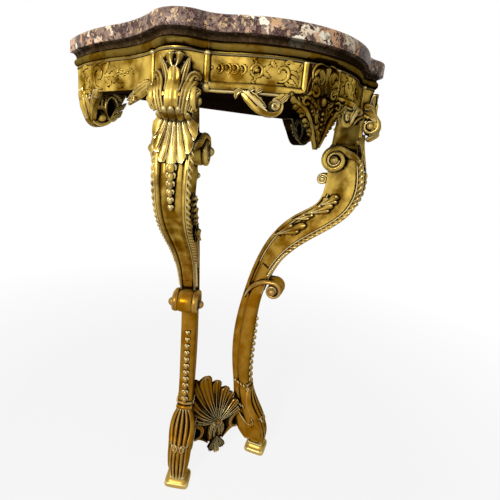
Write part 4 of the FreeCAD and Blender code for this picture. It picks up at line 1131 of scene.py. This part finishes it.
# %% Make rows into pieces
def form_object(name, carving):
    """One small form in millimetres at the origin, kept out of the scene."""
    points = (np.concatenate(carving.points) * MM).tolist()
    return bpy.data.objects.new(name, mesh_of(name, points, carving.faces))


def row_mesh(form, path, count, first, last, facing):
    """Mesh of a row along a path of points in millimetres above the floor."""
    curve = bpy.data.curves.new("row", "CURVE")
    curve.dimensions = "3D"
    spline = curve.splines.new("POLY")
    spline.points.add(len(path) - 1)
    for point, at in zip(spline.points, (np.asarray(path) - (0, 0, MOUNT)) * MM):
        point.co = (*at, 1)
    line = bpy.data.objects.new("row", curve)
    bpy.context.scene.collection.objects.link(line)
    row = line.modifiers.new("row", "NODES")
    row.node_group = ROW_TREE
    for key, value in (("Form", form), ("Count", count), ("First Size", first), ("Last Size", last),
                       ("Facing", facing), ("Finish", gold)):
        row[ROW_INPUT[key]] = value
    mesh = bpy.data.meshes.new_from_object(line.evaluated_get(bpy.context.evaluated_depsgraph_get()))
    bpy.data.objects.remove(line)
    return mesh


def gathered(meshes):
    points, faces = [], []
    for mesh in meshes:
        start = len(points)
        points += [vertex.co.copy() for vertex in mesh.vertices]
        faces += [[start + i for i in polygon.vertices] for polygon in mesh.polygons]
    return points, faces


def join_rows(name, meshes, *nodes):
    points, faces = gathered(meshes)
    gild(name, mesh_of(name, points, faces), nodes)
    print(name, "faces:", len(faces))


# %% [markdown]
# The paths follow the rope's line and the middle of the leg's front. Buds shrink down the upper leg
# and grow down the lower one.

# %% String the pearls and the buds
def flat_ground(a, b, h):
    return np.stack([*np.broadcast_arrays(a, h, b)], -1)


def rope_path(side, first, last):
    for t in np.linspace(first, last, 60):
        front, back, depth, half = station(t)
        yield leg(side * (half + ROPE_OUT), *(front + back * ROPE_SET))


pearl_form, bud_form = Carving(flat_ground), Carving(flat_ground)
bead(pearl_form, 0, 0, 1.0, sides=10)
bead(bud_form, 0, 0.25, 0.66, rise=0.25, tall=1.4)
for side in (-1, 1):
    stem(bud_form, mirrored(side, (0.1, -0.5), (0.62, -0.2), (0.72, 0.45)), [0.16, 0.32, 0.26, 0.1],
         rise=0.05, count=9, sides=8)
pearl, bud = form_object("pearl", pearl_form), form_object("bud", bud_form)
PEARL_RUN, PEARL_COUNT, PEARL_SIZES = (0.628, 0.557), 15, (3.2, 2.7)
BUD_ROWS = (("upper", np.linspace(684, 628, 30), -0.8, 6, 8.6, 4.6),
            ("lower", np.linspace(344, 184, 40), 1.2, 11, 5.0, 8.0))
for name, flip in (("right", 1), ("left", -1)):
    mirror = np.array([flip, 1, 1])
    facing = Vector((flip * math.sin(LEG_TURN), -math.cos(LEG_TURN), 0))
    edges = [np.array(list(rope_path(side, *PEARL_RUN))) * mirror for side in (-1, 1)]
    join_rows(name + "_leg_pearls", [row_mesh(pearl, edge, PEARL_COUNT, *PEARL_SIZES, facing) for edge in edges])
    for part, heights, rise, count, first, last in BUD_ROWS:
        path = np.array([leg_face(np.array(0.0), np.array(z), np.array(rise)) for z in heights]) * mirror
        join_rows(f"{name}_{part}_buds", [row_mesh(bud, path, count, first, last, facing)], f"{name}_{part}_husks")
for form in (pearl, bud):
    bpy.data.objects.remove(form)

# %% [markdown]
# ## How deep each point lies
# On old gilding, dirt and brown glaze stay in the hollows while the high points rub bright. Here the same
# masks also paint shade into the hollows, the creases and under the marble, and paint highlights on the
# high points. A shader can't know how deep a point lies, so rays are cast from every point of the
# carving. The share that strikes other wood nearby, the marble included, is stored as an attribute for
# the dirt and the painted shade. How sharply the surface bends out or in at a point is stored as two
# more: one for rubbed wear with painted highlights, one for glaze and painted shade in creases.

# %% Measure the hollows and the high points
RAYS, SEED, REACH, BEND_SCALE = 16, 7, 34 * MM, 2.5 * MM


def measure_recess_and_shade(piece, tree, rays, shade_share):
    values = np.zeros(len(piece.data.vertices), np.float32)
    for index, vertex in enumerate(piece.data.vertices):
        normal, start, found = vertex.normal, vertex.co + vertex.normal * 0.4 * MM, 0.0
        for ray in rays:
            distance = tree.ray_cast(start, (ray + normal * 1.05).normalized(), REACH)[3]
            if distance is not None:
                # A hit on nearby wood, the marble included, darkens the point: dirt in the hollows and painted shade
                # under overhangs.
                found += (1 - distance / REACH) ** 2
        values[index] = found / len(rays) + shade_share
    piece.data.attributes.new("recess", "FLOAT", "POINT").data.foreach_set("value", values)


def measure_bend(piece, highlight_share):
    mesh = piece.data
    points, normals = np.empty(3 * len(mesh.vertices)), np.empty(3 * len(mesh.vertices))
    ends = np.empty(2 * len(mesh.edges), int)
    mesh.vertices.foreach_get("co", points)
    mesh.vertices.foreach_get("normal", normals)
    mesh.edges.foreach_get("vertices", ends)
    points, normals, ends = points.reshape(-1, 3), normals.reshape(-1, 3), ends.reshape(-1, 2)
    step = points[ends[:, 0]] - points[ends[:, 1]]
    square = np.einsum("ij,ij->i", step, step) + (0.3 * MM) ** 2
    stand, count = np.zeros(len(points)), np.zeros(len(points))
    for end, way in ((0, 1), (1, -1)):
        np.add.at(stand, ends[:, end], 2 * way * np.einsum("ij,ij->i", step, normals[ends[:, end]]) / square)
        np.add.at(count, ends[:, end], 1)
    bend = stand / np.maximum(count, 1) * BEND_SCALE
    for name, values in (("rub", bend + highlight_share), ("crease", -bend)):
        values = np.clip(values, 0, 1).astype(np.float32)
        mesh.attributes.new(name, "FLOAT", "POINT").data.foreach_set("value", values)


# %% [markdown]
# Some parts get more painted shade, and some more painted highlight, than their form alone would give
# them; the top bead gets less highlight. Fine reliefs are left without rub or highlight, so that they stay dull.

# %% Add each part's own painted shade and painted highlight
# Extra painted shade for parts that stand in shade: the stretcher, the cartouche, the heart, the top bead under the
# marble and the right rear bracket.
PAINTED_SHADE = {"palmette": 0.14, "stretcher_arm": 0.07, "hanging_leaf": 0.10, "cartouche": 0.18, "top_bead": 0.23,
        "heart": 0.19, "right_rear_bracket": 0.30}
# Extra painted highlight for parts that face the light, and less of it on the top bead.
PAINTED_HIGHLIGHT = {"knee_shell": 0.18, "shell_knot": 0.10, "top_bead": -0.3, "foot_block": 0.26, "acanthus": 0.05,
          "mid_scroll": 0.12, "knee_scroll": 0.12}
NO_RUB_OR_HIGHLIGHT = ("coat", "relief", "cartouche")


def share_of(piece, table):
    return sum(share for word, share in table.items() if word in piece.name)


chance = np.random.default_rng(SEED).normal(size=(RAYS, 3))
rays = [Vector(ray) for ray in chance / np.linalg.norm(chance, axis=1)[:, None]]
surroundings = BVHTree.FromPolygons(*gathered(thing.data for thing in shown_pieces()))
for piece in gilded:
    measure_recess_and_shade(piece, surroundings, rays, share_of(piece, PAINTED_SHADE))
    if not any(word in piece.name for word in NO_RUB_OR_HIGHLIGHT):
        measure_bend(piece, share_of(piece, PAINTED_HIGHLIGHT))
print("points measured:", sum(len(piece.data.vertices) for piece in gilded))


# %% [markdown]
# ## Gold leaf, marble and bare wood
# Gold leaf is thin metal over clay and gesso. It is brightest where it is rubbed, brown where glaze
# pools, and chipped in spots; the same masks also paint highlights on the high points and shade in the
# hollows. One node group works out the dirt with the painted shade, and the chips, from the recess
# attribute and noise, and the gold material takes its masks.

# %% Short names for common shader nodes
def ranged(tree, source, low, high, first=0.0, last=1.0, **settings):
    """Value that goes from first to last while the source goes from low to high."""
    inputs = {"Value": source, "From Min": low, "From Max": high, "To Min": first, "To Max": last}
    return add_node(tree, "ShaderNodeMapRange", inputs, **settings).outputs["Result"]


def worked(tree, operation, *values):
    return add_node(tree, "ShaderNodeMath", dict(enumerate(values)), operation=operation).outputs[0]


def mixed(tree, factor, *colours):
    """Colour that goes from the first to the second with the factor; each may be a colour or a wire."""
    first, second = ((*colour, 1) if isinstance(colour, tuple) else colour for colour in colours)
    return add_node(tree, "ShaderNodeMix", {"Factor": factor, 6: first, 7: second}, data_type="RGBA").outputs[2]


def noise(tree, where, scale, **inputs):
    return add_node(tree, "ShaderNodeTexNoise", {"Vector": where, "Scale": scale, **inputs}).outputs


def stored(tree, name):
    return add_node(tree, "ShaderNodeAttribute", attribute_name=name).outputs["Fac"]


def place_in(tree):
    return add_node(tree, "ShaderNodeTexCoord").outputs["Object"]


def height_in(tree):
    return add_node(tree, "ShaderNodeSeparateXYZ", {"Vector": place_in(tree)}).outputs["Z"]


def bump(tree, height, strength, distance):
    inputs = {"Height": height, "Strength": strength, "Distance": distance}
    return add_node(tree, "ShaderNodeBump", inputs).outputs["Normal"]


# %% [markdown]
# A finish is set on the material's one surface node, and a piece wears one material.

# %% Set finishes
def finish_of(material, **inputs):
    """Set the material's surface: Base_Color and so on, each a value or a wire."""
    tree = material.node_tree
    named = {name.replace("_", " "): value for name, value in inputs.items()}
    set_inputs(tree, tree.nodes["Principled BSDF"], named)


def new_material(name):
    material = bpy.data.materials.new(name)
    material.use_nodes = True
    return material, material.node_tree


def dress(thing, material):
    thing.data.materials.clear()
    thing.data.materials.append(material)


# %% [markdown]
# The group takes the recess and the grain of the clouds. It gives clouds, dirt with painted shade, chips and a fine
# height.

# %% Node group for aged surfaces and painted shade
def age_group():
    tree = bpy.data.node_groups.new("aged_surface", "ShaderNodeTree")
    for name, default in (("Recess", 0.0), ("Grain", 60.0)):
        tree.interface.new_socket(name=name, in_out="INPUT", socket_type="NodeSocketFloat").default_value = default
    for name in ("Cloud", "Dirt", "Chip", "Height"):
        tree.interface.new_socket(name=name, in_out="OUTPUT", socket_type="NodeSocketFloat")
    given = add_node(tree, "NodeGroupInput").outputs
    where = place_in(tree)
    cloud = noise(tree, where, given["Grain"], Detail=5)["Fac"]
    fine = noise(tree, where, 420, Detail=4)["Fac"]
    spots = noise(tree, where, 130, Detail=2)["Fac"]

    def step(source, low, high):
        return ranged(tree, source, low, high, interpolation_type="SMOOTHSTEP")

    uneven = worked(tree, "MULTIPLY", worked(tree, "SUBTRACT", cloud, 0.5), 0.35)
    depth = worked(tree, "ADD", given["Recess"], uneven)
    # The dirt mask is dirt and painted shade together: it darkens hollows, creases and what lies under other parts.
    add_node(tree, "NodeGroupOutput", {
        "Cloud": cloud,
        "Dirt": step(depth, 0.08, 0.34),
        "Chip": worked(tree, "MULTIPLY", step(spots, 0.72, 0.76), step(cloud, 0.5, 0.62)),
        "Height": worked(tree, "ADD", worked(tree, "MULTIPLY", fine, 0.35), cloud)})
    return tree


AGED = age_group()

# %% [markdown]
# The leaf goes from brown-gold to bright in clouds. It is redder down the leg, where more clay shows,
# and painted brighter on the feet as painted light. Over it lie the dark glaze with painted shade, the
# rubbed high points with painted highlights, and the chips.

# %% Gold leaf
CLAY_SHOWS, FOOT_TOP = (-0.15, -0.40), (-0.786, -0.798)  # heights in metres from the frame's origin
gold.use_nodes = True
tree = gold.node_tree
height = height_in(tree)
rub = stored(tree, "rub")
# Creases darken the leaf as deep recesses do: glaze that pools there, and painted shade.
depth = worked(tree, "MULTIPLY_ADD", stored(tree, "crease"), 0.36, stored(tree, "recess"))
age = add_node(tree, "ShaderNodeGroup", {"Grain": 34, "Recess": depth}, node_tree=AGED).outputs
leafed = mixed(tree, ranged(tree, age["Cloud"], 0.39, 0.63), (0.15, 0.074, 0.004), (0.65, 0.44, 0.085))
worn = mixed(tree, ranged(tree, height, *CLAY_SHOWS, 0.0, 0.8), leafed, (0.27, 0.105, 0.001))
# The feet are painted brighter gold: painted light.
lit_feet = mixed(tree, ranged(tree, height, *FOOT_TOP, 0.0, 0.65), worn, (0.62, 0.42, 0.10))
# Dark glaze and painted shade in the hollows, the creases and under other parts.
glazed_and_shaded = mixed(tree, age["Dirt"], lit_feet, (0.011, 0.004, 0.0006))
# Pale gold and more metal on the high points: rubbed wear and a painted highlight.
rubbed_and_highlit = mixed(tree, ranged(tree, rub, 0.3, 0.95, 0.0, 0.75), glazed_and_shaded, (0.90, 0.75, 0.37))
finish_of(gold, Base_Color=mixed(tree, age["Chip"], rubbed_and_highlit, (0.60, 0.50, 0.34)),
          Metallic=worked(tree, "MULTIPLY_ADD", rub, 0.3, ranged(tree, age["Dirt"], 0, 1, 0.34, 0.0)),
          Roughness=ranged(tree, age["Height"], 0.3, 0.9, 0.18, 0.40), Normal=bump(tree, age["Height"], 0.4, 0.0007),
          Specular_IOR_Level=0.0, Specular_Tint=(1.0, 0.78, 0.42, 1))
for piece in gilded:
    dress(piece, gold)
print("gilded pieces:", len(gilded))

# %% [markdown]
# The top is a breccia: pale broken pieces set in a violet-brown ground, crossed by thin veins. Cells
# of a Voronoi pattern, pushed about by noise, give the pieces. The cove below its edge is painted dark
# brown as painted shade, with no sheen.

# %% Marble
COVE = 0.036, 0.033  # heights in metres between which the edge turns into the cove
marble, tree = new_material("breccia_marble")
where, height = place_in(tree), height_in(tree)
warp = noise(tree, where, 30, Detail=7, Roughness=0.62)["Color"]
pushed = add_node(tree, "ShaderNodeVectorMath", {0: warp, 1: (0.065, 0.065, 0.065), 2: where},
                  operation="MULTIPLY_ADD").outputs["Vector"]


def cells(scale, **settings):
    return add_node(tree, "ShaderNodeTexVoronoi", {"Scale": scale, "Vector": pushed}, **settings).outputs


def channels(colour):
    return add_node(tree, "ShaderNodeSeparateColor", {"Color": colour}).outputs


hue, speck = channels(cells(64)["Color"]), channels(cells(210)["Color"])
seams = cells(100, feature="DISTANCE_TO_EDGE")["Distance"]
mottled, drift = noise(tree, pushed, 260)["Fac"], noise(tree, pushed, 11)["Fac"]
ground = mixed(tree, ranged(tree, mottled, 0.35, 0.65), (0.032, 0.015, 0.014), (0.13, 0.074, 0.062))
mauve = mixed(tree, ranged(tree, hue["Blue"], 0.35, 0.75), ground, (0.25, 0.165, 0.125))
pale = mixed(tree, ranged(tree, hue["Green"], 0.2, 0.9), (0.64, 0.36, 0.20), (0.94, 0.87, 0.68))
choice = worked(tree, "ADD", hue["Red"], ranged(tree, drift, 0.38, 0.64, -0.36, 0.50))
broken = mixed(tree, ranged(tree, choice, 0.74, 0.82), mauve, pale)
specked = mixed(tree, ranged(tree, speck["Red"], 0.82, 0.88), broken, (0.55, 0.36, 0.18))
dusky = mixed(tree, ranged(tree, speck["Green"], 0.78, 0.85), specked, (0.06, 0.026, 0.026))
veined = mixed(tree, ranged(tree, seams, 0.0, 0.04, 0.45, 0.0), dusky, (0.58, 0.47, 0.38))
# Below the cove heights the colour turns dark brown, painted shade, and the sheen goes.
finish_of(marble, Base_Color=mixed(tree, ranged(tree, height, *COVE, 0.0, 0.92), veined, (0.030, 0.016, 0.004)),
          Roughness=ranged(tree, mottled, 0.3, 0.7, 0.30, 0.50), Normal=bump(tree, seams, 0.08, 0.0004),
          Specular_IOR_Level=ranged(tree, height, *COVE, 0.08, 0.0))
dress(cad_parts["marble_top"], marble)
print("marble set")


# %% [markdown]
# The back rail, glue blocks and dowels are bare wood, and the insides of the rails are toned, nearly
# black as painted shade. Rings stretched along the grain give the figure.

# %% Bare wood
def bare_wood(name, dark, light, stretch):
    material, tree = new_material(name)
    grain = add_node(tree, "ShaderNodeMapping", {"Vector": place_in(tree), "Scale": stretch}).outputs["Vector"]
    rings = noise(tree, grain, 30, Detail=6)["Fac"]
    finish_of(material, Base_Color=mixed(tree, ranged(tree, rings, 0.3, 0.7), dark, light),
              Roughness=ranged(tree, rings, 0.3, 0.7, 0.75, 0.55), Normal=bump(tree, rings, 0.3, 0.0008),
              Specular_IOR_Level=0.0)
    return material


dark_wood = bare_wood("dark_bare_wood", (0.018, 0.009, 0.005), (0.07, 0.038, 0.02), (0.12, 1.6, 1.6))
# Toned wood, painted nearly black as painted shade under and inside the rails.
toned_wood = bare_wood("toned_wood", (0.020, 0.010, 0.004), (0.060, 0.032, 0.012), (0.4, 0.4, 1.6))
dowel_wood = bare_wood("dowel_wood", (0.30, 0.19, 0.10), (0.52, 0.37, 0.22), (1.2, 1.2, 0.2))
BARE = {"back_rail": dark_wood, "glue_blocks": dark_wood, "frame_dowels": dowel_wood, "leg_dowels": dowel_wood}
for name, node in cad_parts.items():
    if not node.hide_render and name != "marble_top":
        dress(node, BARE.get(name, toned_wood))
print("finishes set")


# %% [markdown]
# ## Floor, light and camera
# A pale floor keeps the shadow near the feet and fades to white. The room is white to the eye, but
# gives the table little light, so that the lamps shape it.

# %% Floor and room
def seen_directly(tree):
    """One for what the camera sees, straight or in a reflection, and zero for light on its way."""
    path = add_node(tree, "ShaderNodeLightPath").outputs
    glossy = worked(tree, "MAXIMUM", path["Is Camera Ray"], path["Is Glossy Ray"])
    return worked(tree, "MAXIMUM", glossy, path["Is Transmission Ray"])


bpy.ops.mesh.primitive_plane_add(size=12, location=(0, 0, -MOUNT * MM))
floor = bpy.context.object
floor.name = "floor"
floor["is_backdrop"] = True
paper, tree = new_material("pale_floor")
tree.nodes.remove(tree.nodes["Principled BSDF"])
matt = add_node(tree, "ShaderNodeBsdfDiffuse", {"Color": (0.42, 0.42, 0.42, 1)}).outputs[0]
glow = add_node(tree, "ShaderNodeEmission").outputs[0]
away = add_node(tree, "ShaderNodeVectorMath", {0: place_in(tree)}, operation="LENGTH").outputs["Value"]
share = worked(tree, "MULTIPLY", ranged(tree, away, 0.5, 1.5, 0.88, 1.0), seen_directly(tree))
blend = add_node(tree, "ShaderNodeMixShader", {"Fac": share, 1: matt, 2: glow}).outputs[0]
tree.links.new(blend, tree.nodes["Material Output"].inputs["Surface"])
dress(floor, paper)

world = bpy.data.worlds.new("studio")
bpy.context.scene.world = world
world.use_nodes = True
tree = world.node_tree
room = tree.nodes["Background"].inputs
room["Color"].default_value = (1, 1, 1, 1)
tree.links.new(ranged(tree, seen_directly(tree), 0.0, 1.0, 0.10, 1.0), room["Strength"])
print("floor and room set")


# %% [markdown]
# A soft lamp lights the table from the left as in a studio, with a weak one to fill. The camera stands
# where the photograph was taken: low, close and to the left. Its numbers were fitted to that picture,
# of 500 by 500 pixels.

# %% Lamps and camera
def soft_lamp(name, place, aim, size, power):
    lamp = bpy.data.lights.new(name, "AREA")
    lamp.size, lamp.energy = size, power
    holder = bpy.data.objects.new(name, lamp)
    holder.location = place
    holder.rotation_euler = (Vector(aim) - Vector(place)).to_track_quat("-Z", "Y").to_euler()
    bpy.context.scene.collection.objects.link(holder)


soft_lamp("key", (-1.75, -1.15, 0.55), (0, -0.15, -0.25), 0.6, 48)
soft_lamp("fill", (0.4, -1.9, 0.3), (0, -0.15, -0.3), 1.2, 2.5)

SENSOR, PICTURE, FOCAL, MIDDLE = 36, 500, 366.7, (216.5, 244.3)
EYE_PLACE = (-0.4043, -0.7321, 0.7066 - MOUNT * MM)
yaw, pitch, roll = 0.541, -0.243, 0.067
ahead = Vector((math.sin(yaw) * math.cos(pitch), math.cos(yaw) * math.cos(pitch), math.sin(pitch)))
level = Vector((math.cos(yaw), -math.sin(yaw), 0))
above = level.cross(ahead)
right = level * math.cos(roll) + above * math.sin(roll)
top = above * math.cos(roll) - level * math.sin(roll)
lens = bpy.data.cameras.new("camera")
lens.sensor_width, lens.lens = SENSOR, FOCAL / PICTURE * SENSOR
lens.shift_x, lens.shift_y = 0.5 - MIDDLE[0] / PICTURE, MIDDLE[1] / PICTURE - 0.5
camera = bpy.data.objects.new("camera", lens)
camera.matrix_world = Matrix.Translation(EYE_PLACE) @ Matrix((right, top, -ahead)).transposed().to_4x4()
bpy.context.scene.collection.objects.link(camera)
bpy.context.scene.camera = camera
bpy.context.scene.view_settings.view_transform = "Standard"
print("camera set")
